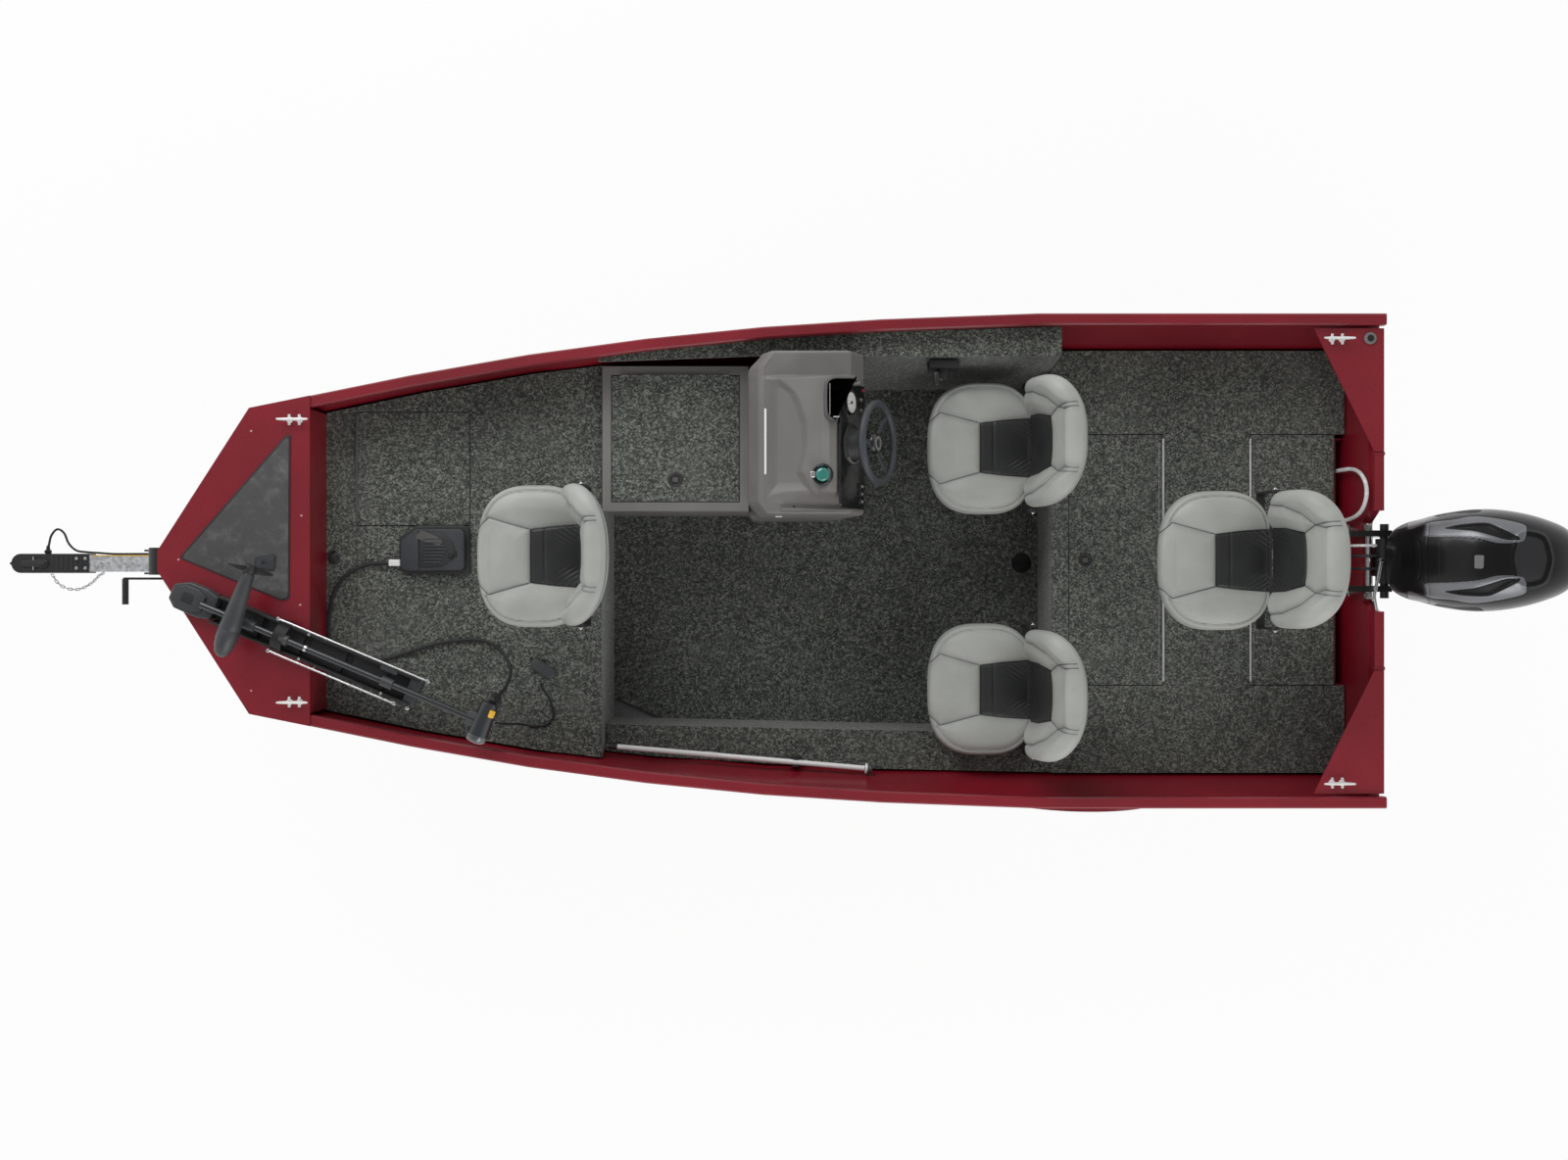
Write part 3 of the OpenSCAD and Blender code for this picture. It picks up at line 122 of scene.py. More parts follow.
class Finish:
    # a material whose shader is a Principled BSDF, and short ways to add nodes to it

    def __init__(self, name, colour, rough, **fixed):
        self.material = bpy.data.materials.new(name)
        self.material.use_nodes = True
        self.tree = self.material.node_tree
        self.shader = self.tree.nodes["Principled BSDF"]
        self.set("Base Color", (*colour, 1.0))
        self.set("Roughness", rough)
        for key, value in fixed.items():
            self.set(key.replace("_", " "), value)
        self.place = self.node("ShaderNodeTexCoord", out="Object")
        self.heights = []

    def set(self, name, value):
        socket = self.shader.inputs[name]
        if isinstance(value, Sock):
            self.tree.links.new(value.socket, socket)
        else:
            socket.default_value = value

    # any node: its settings first, then the values or links of its sockets
    def node(self, kind, settings=None, out=0, **sockets):
        node = self.tree.nodes.new(kind)
        for key, value in (settings or {}).items():
            if key == "stops":
                ramp = node.color_ramp
                while len(ramp.elements) < len(value):
                    ramp.elements.new(0.5)
                for element, (position, colour) in zip(ramp.elements, value):
                    element.position = position
                    element.color = (*colour, 1.0)
            else:
                setattr(node, key, value)
        for key, value in sockets.items():
            socket = node.inputs[int(key[1:])] if key[0] == "i" and key[1:].isdigit() \
                else node.inputs[key.replace("_", " ")]
            if isinstance(value, Sock):
                self.tree.links.new(value.socket, socket)
            else:
                socket.default_value = value
        return Sock(self.tree, node.outputs[out])

    def noise(self, scale, detail=3.0, rough=0.55, stretch=None):
        where = self.place
        if stretch:
            where = self.node("ShaderNodeMapping", Vector=where, Scale=stretch)
        return self.node("ShaderNodeTexNoise", out="Fac", Vector=where, Scale=scale,
                         Detail=detail, Roughness=rough)

    def cells(self, scale, feature="F1", out="Distance"):
        return self.node("ShaderNodeTexVoronoi", {"feature": feature}, out=out,
                         Vector=self.place, Scale=scale, Randomness=1.0)

    # one number from the random colour that every cell has
    def cellValue(self, scale):
        return self.node("ShaderNodeSeparateColor", out=0, Color=self.cells(scale, out="Color"))

    def axes(self):
        split = self.tree.nodes.new("ShaderNodeSeparateXYZ")
        self.tree.links.new(self.place.socket, split.inputs[0])
        return [Sock(self.tree, split.outputs[k]) for k in range(3)]

    def attribute(self, name):
        return self.node("ShaderNodeAttribute", {"attribute_name": name}, out="Fac")

    def ramp(self, value, *stops):
        return self.node("ShaderNodeValToRGB", {"stops": stops}, out="Color", Fac=value)

    def blendColour(self, factor, first, second):
        node = self.tree.nodes.new("ShaderNodeMix")
        node.data_type = "RGBA"
        for slot, value in ((0, factor), (6, first), (7, second)):
            if isinstance(value, Sock):
                self.tree.links.new(value.socket, node.inputs[slot])
            elif slot == 0:
                node.inputs[slot].default_value = value
            else:
                node.inputs[slot].default_value = (*value, 1.0)
        return Sock(self.tree, node.outputs[2])

    # adds a height in metres to the bump chain
    def bump(self, height, distance, strength=1.0):
        settings = {"Height": height, "Distance": distance, "Strength": strength}
        if self.heights:
            settings["Normal"] = self.heights[-1]
        self.heights.append(self.node("ShaderNodeBump", out="Normal", **settings))
        self.set("Normal", self.heights[-1])


# finishes

def redFinish():
    # gloss metallic red: fine flake in the colour, faint orange peel, dust in the gloss
    f = Finish("redPaint", (0.21, 0.0045, 0.0145), 0.3, Coat_Weight=0.25, Coat_Roughness=0.12)
    glint = f.cellValue(900.0)
    drift = f.noise(1.6, 3.0)
    tone = f.blendColour(drift.ease(0.3, 0.7), (0.175, 0.0035, 0.012), (0.23, 0.0055, 0.017))
    f.set("Base Color", f.blendColour(glint.above(0.9) * 0.3, tone, (0.42, 0.05, 0.06)))
    f.set("Roughness", 0.27 + 0.12 * f.noise(7.0, 4.0) + 0.05 * f.noise(90.0, 2.0))
    f.bump(f.noise(140.0, 1.0), 0.0003, 0.25)
    return f.material


def hullGreyFinish():
    f = Finish("hullGrey", (0.11, 0.11, 0.115), 0.42, Metallic=0.4)
    scuff = f.noise(14.0, 6.0, 0.7, stretch=(0.25, 1.0, 1.0))
    f.set("Base Color", f.blendColour(scuff.ease(0.45, 0.75), (0.1, 0.1, 0.104),
                                      (0.17, 0.17, 0.175)))
    f.set("Roughness", 0.34 + 0.25 * scuff)
    f.bump(f.noise(60.0, 3.0), 0.0006, 0.3)
    return f.material


def carpetFinish():
    # short looped pile: tufts about 6 mm across in four greys, with worn lighter patches
    f = Finish("carpet", (0.06, 0.066, 0.057), 0.95, Sheen_Weight=0.3, Sheen_Roughness=0.6,
               Specular_IOR_Level=0.2)
    pick = f.cellValue(165.0)
    clump = f.noise(46.0, 3.0, 0.7)
    wear = f.noise(3.2, 5.0, 0.65)
    mixed = pick * 0.62 + clump * 0.5 - 0.06
    speckle = f.ramp(mixed, (0.18, (0.016, 0.018, 0.014)), (0.42, (0.05, 0.056, 0.046)),
                     (0.64, (0.115, 0.123, 0.106)), (0.88, (0.26, 0.27, 0.24)))
    f.set("Base Color", f.blendColour(wear.ease(0.5, 0.8) * 0.4, speckle, (0.125, 0.132, 0.118)))
    pile = f.cells(210.0)
    f.bump(1.0 - pile, 0.0026, 0.8)
    f.bump(clump, 0.003, 0.5)
    return f.material


def mouldedFinish(name, dark, light, rough=0.45):
    # moulded plastic: fine pebble grain, slight colour drift, rubbed gloss
    f = Finish(name, dark, rough)
    drift = f.noise(4.0, 4.0)
    f.set("Base Color", f.blendColour(drift.ease(0.35, 0.7), dark, light))
    f.set("Roughness", rough - 0.06 + 0.16 * f.noise(11.0, 4.0))
    f.bump(f.cells(850.0), 0.0005, 0.35)
    return f.material


def glossFinish(name, base, rough=0.08, coat=0.8):
    # moulded gloss shell: deep colour, faint swirl marks and dust
    f = Finish(name, base, rough, Coat_Weight=coat, Coat_Roughness=0.04)
    dust = f.noise(30.0, 6.0, 0.75)
    f.set("Base Color", f.blendColour(dust.ease(0.55, 0.85) * 0.3, base,
                                      tuple(min(1.0, 0.02 + 1.9 * c) for c in base)))
    f.set("Roughness", rough + 0.1 * dust)
    f.bump(f.noise(55.0, 1.0), 0.0004, 0.15)
    return f.material


def metalFinish(name, base, rough=0.3, spangle=0.0, brushed=False):
    f = Finish(name, base, rough, Metallic=1.0)
    stretch = (0.08, 1.0, 1.0) if brushed else None
    grain = f.noise(120.0, 4.0, 0.6, stretch=stretch)
    tone = f.blendColour(grain.ease(0.3, 0.8), tuple(0.82 * c for c in base), base)
    if spangle:
        patches = f.cellValue(70.0)
        tone = f.blendColour(patches * spangle, tone, tuple(min(1.0, 1.35 * c) for c in base))
        f.set("Roughness", rough + 0.25 * patches + 0.1 * grain)
    else:
        f.set("Roughness", rough - 0.05 + 0.2 * grain)
    f.set("Base Color", tone)
    f.bump(grain, 0.0003, 0.2)
    return f.material


def rubberFinish(name, base, rough=0.75):
    f = Finish(name, base, rough, Specular_IOR_Level=0.35)
    dust = f.noise(16.0, 6.0, 0.7)
    f.set("Base Color", f.blendColour(dust.ease(0.45, 0.8), base,
                                      tuple(0.015 + 1.8 * c for c in base)))
    f.set("Roughness", rough - 0.05 + 0.2 * dust)
    f.bump(f.noise(260.0, 3.0), 0.0004, 0.4)
    return f.material


def sleeveFinish():
    # woven sleeve over the cable: crossed diagonal strands, worn pale on its high side
    f = Finish("cordSleeve", (0.016, 0.017, 0.018), 0.6, Specular_IOR_Level=0.4)
    weave = f.noise(420.0, 2.0, 0.6)
    f.set("Base Color", f.blendColour(weave.ease(0.5, 0.72), (0.011, 0.0115, 0.012),
                                      (0.052, 0.055, 0.058)))
    f.set("Roughness", 0.45 + 0.3 * f.noise(40.0, 3.0))
    f.bump(weave, 0.0008, 0.6)
    return f.material


finish = {
    "red": redFinish(),
    "hullGrey": hullGreyFinish(),
    "carpet": carpetFinish(),
    "moulding": mouldedFinish("greyMoulding", (0.15, 0.145, 0.137), (0.18, 0.175, 0.165)),
    "mouldingDark": mouldedFinish("darkMoulding", (0.075, 0.073, 0.07), (0.09, 0.087, 0.083)),
    "blackPlastic": mouldedFinish("blackPlastic", (0.014, 0.014, 0.015),
                                  (0.024, 0.024, 0.026), 0.5),
    "pad": rubberFinish("treadPad", (0.068, 0.068, 0.07), 0.8),
    "powderBlack": mouldedFinish("powderBlack", (0.014, 0.014, 0.015), (0.02, 0.02, 0.022),
                                 0.42),
    "motorBlack": glossFinish("motorBlack", (0.008, 0.008, 0.009), 0.25, 0.4),
    "white": glossFinish("whitePlastic", (0.78, 0.78, 0.77), 0.28, 0.3),
    "bright": metalFinish("brightMetal", (0.8, 0.8, 0.81), 0.18, brushed=True),
    "galvanised": metalFinish("galvanised", (0.58, 0.59, 0.6), 0.38, spangle=0.45),
    "tyre": rubberFinish("tyreRubber", (0.013, 0.013, 0.013)),
    "lens": glossFinish("redLens", (0.42, 0.006, 0.008), 0.15),
    "cordBlack": rubberFinish("cordBlack", (0.011, 0.011, 0.011), 0.55),
    "motorGrey": mouldedFinish("motorGrey", (0.04, 0.042, 0.046), (0.055, 0.057, 0.06), 0.4),
    "yellow": glossFinish("yellowPlastic", (0.75, 0.42, 0.01), 0.3, 0.3),
    "smoked": glossFinish("smokedLens", (0.06, 0.065, 0.07), 0.08, 0.8),
    "shaftGrey": glossFinish("shaftGrey", (0.022, 0.024, 0.028), 0.2, 0.3),
    "cordSleeve": sleeveFinish(),
    "pedalGrey": mouldedFinish("pedalGrey", (0.026, 0.028, 0.033), (0.038, 0.041, 0.047), 0.5),
    "rivet": glossFinish("paleRivet", (0.55, 0.33, 0.34), 0.3, 0.2),
    "rimSilver": metalFinish("rimSilver", (0.72, 0.73, 0.74), 0.32),
    "satinStrip": metalFinish("satinStrip", (0.85, 0.85, 0.84), 0.42, brushed=True),
    "hoseWhite": rubberFinish("hoseWhite", (0.62, 0.63, 0.63), 0.4),
    "dashBlack": glossFinish("dashBlack", (0.006, 0.006, 0.007), 0.22, 0.4),
    "wheelGrip": mouldedFinish("wheelGrip", (0.028, 0.032, 0.038), (0.042, 0.047, 0.054), 0.5),
    "compassDome": glossFinish("compassDome", (0.02, 0.19, 0.16), 0.05, 1.0),
}

# the CAD nodes that stay in view, by finish
shownNodes = {
    "red": ["hull_sides", "transom", "gunwales", "bow_cap", "stern_corners", "splash_well",
            "fenders"],
    "hullGrey": ["hull_bottom"],
    "carpet": ["bow_deck", "bow_lid", "stern_deck", "stern_lid_fore", "stern_lid_aft",
               "cockpit_floor", "side_liners", "locker_lid", "bunks"],
    "moulding": ["locker"],
    "blackPlastic": ["throttle_box"],
    "powderBlack": ["seat_posts", "coupler", "axle", "winch"]
                   + ["seat_frame_" + name for name in seatNames],
    "motorBlack": ["motor_clamp", "motor_swivel", "motor_leg"],
    "galvanised": ["trailer_frame", "jack_tube", "jack_leg"],
    "lens": ["tail_lights"],
}
for key, names in shownNodes.items():
    for name in names:
        nodes[name].data.materials.clear()
        nodes[name].data.materials.append(finish[key])
print("finishes set")


# meshes: a part is (points, faces), several are joined into one piece

def addObject(name, mesh, body, materials, *stands):
    piece = bpy.data.objects.new(name, mesh)
    bpy.context.scene.collection.objects.link(piece)
    for one in (materials if isinstance(materials, (list, tuple)) else [materials]):
        mesh.materials.append(finish[one])
    mesh.shade_smooth()
    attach(piece, body)
    if stands:
        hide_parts(*stands)
    return piece


# quads over a grid of rows x columns; outward is (down the rows) x (along the columns)
def gridFaces(rows, columns, closeRows=False, closeColumns=False):
    i = np.arange(rows if closeRows else rows - 1)[:, None]
    j = np.arange(columns if closeColumns else columns - 1)[None, :]
    corners = (i * columns + j, (i + 1) % rows * columns + j,
               (i + 1) % rows * columns + (j + 1) % columns, i * columns + (j + 1) % columns)
    return np.stack(np.broadcast_arrays(*corners), axis=-1).reshape(-1, 4).tolist()


def meshFrom(name, part, attributes=None):
    mesh = bpy.data.meshes.new(name)
    mesh.from_pydata(np.asarray(part[0], float).reshape(-1, 3).tolist(), [], part[1])
    for key, values in (attributes or {}).items():
        layer = mesh.attributes.new(key, "FLOAT", "POINT")
        layer.data.foreach_set("value", np.asarray(values, dtype=np.float32).ravel())
    mesh.update()
    return mesh


def joined(*parts):
    points, faces, start = [], [], 0
    for part in parts:
        corners = np.asarray(part[0], float).reshape(-1, 3)
        points.append(corners)
        faces += [[k + start for k in face] for face in part[1]]
        start += len(corners)
    return np.concatenate(points), faces


# a piece of several parts, each with the number of its material
def addPieces(name, body, materials, groups, *stands, sharp=None):
    parts = [part for slot in groups for part in slot]
    piece = addObject(name, meshFrom(name, joined(*parts)), body, materials, *stands)
    slots = np.concatenate([np.full(sum(len(p[1]) for p in slot), k)
                            for k, slot in enumerate(groups)]).astype(np.int32)
    piece.data.polygons.foreach_set("material_index", slots)
    if sharp is not None:
        piece.data.set_sharp_from_angle(angle=math.radians(sharp))
    return piece


# points turned by degrees about an axis through a point
def turned(part, axis, degrees, about=(0.0, 0.0, 0.0)):
    axis = np.asarray(axis, float) / np.linalg.norm(axis)
    k = np.array([[0, -axis[2], axis[1]], [axis[2], 0, -axis[0]], [-axis[1], axis[0], 0]])
    a = math.radians(degrees)
    matrix = np.eye(3) + math.sin(a) * k + (1 - math.cos(a)) * k @ k
    return (np.asarray(part[0], float) - about) @ matrix.T + about, part[1]


def moved(part, *offset):
    return np.asarray(part[0], float) + np.asarray(offset, float), part[1]


# the other side of the boat: y changes sign, and the faces turn with it
def mirrored(part):
    return np.asarray(part[0], float) * (1, -1, 1), [face[::-1] for face in part[1]]


def bothSides(*parts):
    return [one for part in parts for one in (part, mirrored(part))]


# ring of columns down a stack of rings, its two ends closed by flat caps
def stackPart(rings):
    rings = np.asarray(rings, float)
    rows, columns = rings.shape[:2]
    caps = [list(range(columns)), list(range(rows * columns - 1, (rows - 1) * columns - 1, -1))]
    return rings.reshape(-1, 3), gridFaces(rows, columns, False, True) + caps


# turns a closed part's faces to point out, by the sign of the volume they enclose
def outward(part):
    points = np.asarray(part[0], float).reshape(-1, 3)
    corners = np.array([(f[0], f[k], f[k + 1]) for f in part[1] for k in range(1, len(f) - 1)])
    a, b, c = (points[corners[:, k]] for k in range(3))
    inside = (a * np.cross(b, c)).sum() < 0
    return points, [face[::-1] for face in part[1]] if inside else part[1]


# tube: a circle carried along a path, its frame turned as little as possible on the way
def tubePart(path, radius, sides=12, closed=False):
    path = np.asarray(path, float)
    ahead = np.roll(path, -1, 0) - np.roll(path, 1, 0)
    if not closed:
        ahead[0], ahead[-1] = path[1] - path[0], path[-1] - path[-2]
    ahead /= np.linalg.norm(ahead, axis=1)[:, None]
    side = np.cross(ahead[0], (0.0, 0.0, 1.0) if abs(ahead[0][2]) < 0.9 else (0.0, 1.0, 0.0))
    sideways = []
    for direction in ahead:
        side = side - direction * side.dot(direction)
        side = side / np.linalg.norm(side)
        sideways.append(side)
    sideways = np.array(sideways)
    upward = np.cross(ahead, sideways)
    angle = np.linspace(0, 2 * np.pi, sides, endpoint=False)[None, :, None]
    r = np.broadcast_to(np.asarray(radius, float), (len(path),))[:, None, None]
    rings = path[:, None] + r * (np.cos(angle) * sideways[:, None]
                                 - np.sin(angle) * upward[:, None])
    if closed:
        return rings.reshape(-1, 3), gridFaces(len(path), sides, True, True)
    return stackPart(rings)


# body of revolution about an axis, of (radius, height) pairs from its foot up
def spunPart(profile, centre=(0, 0, 0), axis=(0, 0, 1), sides=40):
    profile = np.asarray(profile, float)
    angle = -np.linspace(0, 2 * np.pi, sides, endpoint=False)
    r, z = profile[:, :1], profile[:, 1:]
    rings = np.stack([r * np.cos(angle), r * np.sin(angle), z + 0 * angle], -1)
    return moved(aimed(stackPart(rings), axis), *centre)


# closed loop of (radius, height) pairs turned about z, as a ring with no ends
def closedSpin(profile, sides):
    angle = -np.linspace(0, 2 * np.pi, sides, endpoint=False)
    r, z = np.asarray(profile, float).T[:, :, None]
    points = np.stack([r * np.cos(angle), r * np.sin(angle), z + 0 * angle], -1)
    return points.reshape(-1, 3), gridFaces(len(profile), sides, True, True)


# turns a part made about +Z so that it stands along another axis
def aimed(part, axis):
    matrix = np.array(Vector(axis).to_track_quat("Z", "Y").to_matrix())
    return np.asarray(part[0], float) @ matrix.T, part[1]


# disc with a rounded rim, from its foot up: every small round knob, cap and screw
def discPart(centre, radius, height, axis=(0, 0, 1), edge=0.25, sides=28):
    t = np.linspace(0, np.pi / 2, 5)
    rim = min(edge * height, 0.4 * radius)
    profile = [(radius, 0)] + [(radius - rim + rim * math.cos(a), height - rim + rim * math.sin(a))
                               for a in t] + [(radius * 0.02, height)]
    return spunPart(profile, centre, axis, sides)


# outline with its corners rounded, anticlockwise seen from above
def roundedOutline(corners, radius, steps=6):
    corners = np.asarray(corners, float)
    radii = np.broadcast_to(np.asarray(radius, float), (len(corners),))
    before = np.roll(corners, 1, 0) - corners
    after = np.roll(corners, -1, 0) - corners
    before /= np.linalg.norm(before, axis=1)[:, None]
    after /= np.linalg.norm(after, axis=1)[:, None]
    half = np.arccos(np.clip((before * after).sum(1), -1, 1)) / 2
    reach = (radii / np.tan(half))[:, None]
    t = np.linspace(0, 1, steps)[None, :, None]
    first, last = corners + before * reach, corners + after * reach
    # a quadratic arc through the corner's two tangent points
    arc = ((1 - t) ** 2 * first[:, None] + 2 * t * (1 - t) * (0.86 * corners[:, None]
           + 0.07 * (first + last)[:, None]) + t ** 2 * last[:, None])
    return arc.reshape(-1, 2)


def boxOutline(x0, y0, x1, y1, radius=0.005, steps=5):
    return roundedOutline([(x0, y0), (x1, y0), (x1, y1), (x0, y1)], radius, steps)


# slab: an outline drawn up from low to high, its upper edge rounded over
def slabPart(outline, low, high, edge=0.003, foot=0.0, steps=4):
    outline = np.asarray(outline, float)
    ahead = np.roll(outline, -1, 0) - np.roll(outline, 1, 0)
    inward = np.stack([-ahead[:, 1], ahead[:, 0]], -1)
    inward /= np.maximum(np.linalg.norm(inward, axis=1), 1e-9)[:, None]
    turn = np.linspace(0, np.pi / 2, steps)
    levels = ([(foot * (1 - math.sin(a)), low + foot * (1 - math.cos(a))) for a in turn]
              if foot else [(0.0, low)])
    levels += [(edge * (1 - math.cos(a)), high - edge + edge * math.sin(a)) for a in turn]
    rings = [np.column_stack([outline + inward * inset, np.full(len(outline), z)])
             for inset, z in levels]
    return stackPart(np.array(rings)[:, ::-1])


def boxPart(low, high, edge=0.003, radius=None):
    radius = 1.2 * edge if radius is None else radius
    return slabPart(boxOutline(low[0], low[1], high[0], high[1], radius, 4), low[2], high[2],
                    edge, edge * 0.6, 3)


# a part made lying on z = 0 with x along a line, set at a point with that line's direction
def laid(part, origin, along, up=(0, 0, 1)):
    along = np.asarray(along, float) / np.linalg.norm(along)
    across = np.cross(up, along)
    across /= np.linalg.norm(across)
    frameRows = np.stack([along, across, np.cross(along, across)])
    return np.asarray(part[0], float) @ frameRows + np.asarray(origin, float), part[1]


# smooth path through a few points (Catmull-Rom), count steps to a span
def smoothPath(points, count=8):
    p = np.asarray(points, float)
    p = np.concatenate([p[:1], p, p[-1:]])
    t = np.linspace(0, 1, count, endpoint=False)[None, :, None]
    a, b, c, d = (p[k:len(p) - 3 + k][:, None] for k in range(4))
    curve = 0.5 * (2 * b + (c - a) * t + (2 * a - 5 * b + 4 * c - d) * t ** 2
                   + (3 * b - a - 3 * c + d) * t ** 3)
    return np.concatenate([curve.reshape(-1, p.shape[1]), p[-1:]])


# eases 0 to 1 between two edges, on arrays
def eased(value, low, high):
    t = np.clip((value - low) / (high - low), 0, 1)
    return t * t * (3 - 2 * t)


# distance of every (x, y) from the line through the given corners
def lineDistance(x, y, corners):
    nearest = np.full(np.shape(x), 9.0)
    for (ax, ay), (bx, by) in zip(corners[:-1], corners[1:]):
        dx, dy = bx - ax, by - ay
        t = np.clip(((x - ax) * dx + (y - ay) * dy) / (dx * dx + dy * dy), 0, 1)
        nearest = np.minimum(nearest, np.hypot(x - ax - t * dx, y - ay - t * dy))
    return nearest


# seats: every cushion is one closed skin, and its seams and insert are distances on that skin

seat = {"front": 0.288, "rear": 0.15, "widestAt": -0.07, "power": 2.7, "rearPower": 3.7,
        "grid": 150,
        "crown": 0.012, "puff": 0.014,
        "insert": [(-0.076, 0.102), (0.02, 0.114), (0.16, 0.124)],
        "frontSeam": [(-0.076, 0.102), (-0.13, 0.116), (-0.239, 0.148), (-0.285, 0.105)],
        "hinge": (0.128, 0.052), "lean": 8.0,
        "backHalfWidth": 0.256, "backLow": -0.035, "backHigh": 0.380, "backThick": 0.04,
        "backInsert": [(-0.04, 0.124), (0.1, 0.119), (0.215, 0.098)],
        "backCorner": [(0.215, 0.098), (0.28, 0.124), (0.38, 0.134)],
        "tuck": [(0.28, 0.124), (0.33, 0.112), (0.38, 0.118)],
        "wingSeam": [(-0.035, 0.196), (0.05, 0.208), (0.15, 0.2), (0.23, 0.168), (0.28, 0.124)],
        "wing": 0.07}


# closed pillow: a front and a rear grid that share their rim, with the same attributes on both
def pillowMesh(name, sheet, count):
    line = np.linspace(-1, 1, count)
    u, v = np.meshgrid(line, line, indexing="ij")
    front, frontData = sheet(u, v, True)
    rear, rearData = sheet(u, v, False)
    inner = (np.abs(u) < 1) & (np.abs(v) < 1)
    rearIndex = np.arange(count * count).reshape(count, count)
    rearIndex[inner] = count * count + np.arange(inner.sum())
    quads = np.array(gridFaces(count, count))
    rearQuads = rearIndex.ravel()[quads][:, ::-1]
    points = np.concatenate([front.reshape(-1, 3), rear[inner]])
    data = {key: np.concatenate([frontData[key].ravel(), rearData[key][inner]])
            for key in frontData}
    return meshFrom(name, (points, np.concatenate([quads, rearQuads]).tolist()), data)


# square to disc, x = u sqrt(1 - v^2 / 2), then polar: the radius and the direction of each point
def discPolar(u, v):
    x, y = u * np.sqrt(1 - v * v / 2), v * np.sqrt(1 - u * u / 2)
    rho = np.clip(np.hypot(x, y), 1e-9, 1)
    return rho, x / rho, y / rho


# superellipse |x/a|^n + |y/b|^n = 1, as a radius for each direction
def superRadius(cosine, sine, a, b, power):
    return (np.abs(cosine / a) ** power + np.abs(sine / b) ** power) ** (-1 / power)


# folds of slack vinyl: ridges that run diagonally from the insert's rear corners
def foldWaves(x, side, y):
    ripple = np.sin((0.62 * x + side) * 330.0 + 2.0 * np.sin(y * 24.0))
    return np.sign(ripple) * np.abs(ripple) ** 0.7


# cushion: plan is a superellipse that tapers to the rear; the skin rolls over the rim
def cushionSheet(u, v, front):
    rho, cosine, sine = discPolar(u, v)
    reach = np.where(cosine < 0, seat["front"] + seat["widestAt"],
                     seat["rear"] - seat["widestAt"])
    power = np.where(cosine < 0, seat["power"], seat["rearPower"])
    plan = superRadius(cosine, sine, reach, seat["halfWidth"], power)
    x0 = seat["widestAt"]

    def taper(x):
        return 1 - 0.08 * eased(x, -0.02, 0.17)

    if not front:
        x = x0 + plan * 0.93 * rho * cosine
        y = plan * 0.93 * rho * sine * taper(x)
        far = np.full(np.shape(x), 0.2)
        return np.stack([x, y, 0 * x], -1), {"seam": far, "insert": -far, "rim": far}
    edge = 0.80
    roll = np.clip((rho - edge) / (1 - edge), 0, 1)
    angle = roll * np.pi * 0.86
    scale = np.where(rho < edge, rho / edge * 0.90, 0.90 + 0.10 * np.sin(angle) ** 0.8)
    scale = np.where(roll > 0.5, np.maximum(scale, 0.93), scale)
    drop = np.where(rho < edge, 0.0, (1 - np.cos(angle)) / (1 - math.cos(np.pi * 0.86)))
    x = x0 + plan * scale * cosine
    y = plan * scale * sine * taper(x)
    side = np.abs(y)
    fore, foreSide = seat["insert"][0]
    insertSide = np.interp(x, *zip(*seat["insert"]))
    insert = np.minimum(insertSide - side, x - fore)
    outside = np.where(x < fore, np.hypot(x - fore, np.maximum(side - foreSide, 0)),
                       np.abs(side - insertSide))
    insertEdge = np.where(insert > 0, insert, outside)
    seam = np.minimum(lineDistance(x, side, seat["frontSeam"]), insertEdge)
    # piping round the side lobes, just inside the rim, gone at the front lobe
    lobe = 1 - eased(-x, 0.225, 0.245) * (side < 0.15)
    ring = np.where(rho > 0.5, np.abs(scale - 0.915) * plan, 0.2) + (1 - lobe) * 0.05
    nearest = np.minimum(seam, ring)
    inside = insert > 0
    puff = seat["puff"] * (1 - np.exp(-nearest / 0.03)) * np.where(inside, 0.3, 1.0)
    puff = np.where(rho < edge, puff, puff * (1 - roll) ** 1.5)
    crown = seat["crown"] * np.clip(1 - (rho / edge) ** 2, 0, 1)
    bolster = 0.012 * eased(side, 0.10, 0.20) * (1 - eased(rho, 0.7, 1.0))
    waterfall = -0.016 * eased(-x, 0.12, 0.288)
    window = (eased(x, 0.0, 0.07) * eased(side, 0.03, 0.07)
              * (1 - eased(side, insertSide - 0.014, insertSide)))
    z = (seat["height"] - seat["puff"] - 0.012) * (1 - drop) + puff + crown + bolster
    z = z + waterfall * (1 - drop) - 0.0045 * np.exp(-(nearest / 0.0045) ** 2) * (1 - roll)
    z = z + np.where(inside, 0.0021 * foldWaves(x, side, y) * window
                     - 0.003 * np.exp(-((x - fore - 0.055) / 0.004) ** 2), 0.0)
    z = np.where(rho > 0.999999, 0.004, np.maximum(z, 0.0))
    return np.stack([x, y, z], -1), {"seam": seam, "insert": insert, "rim": ring}


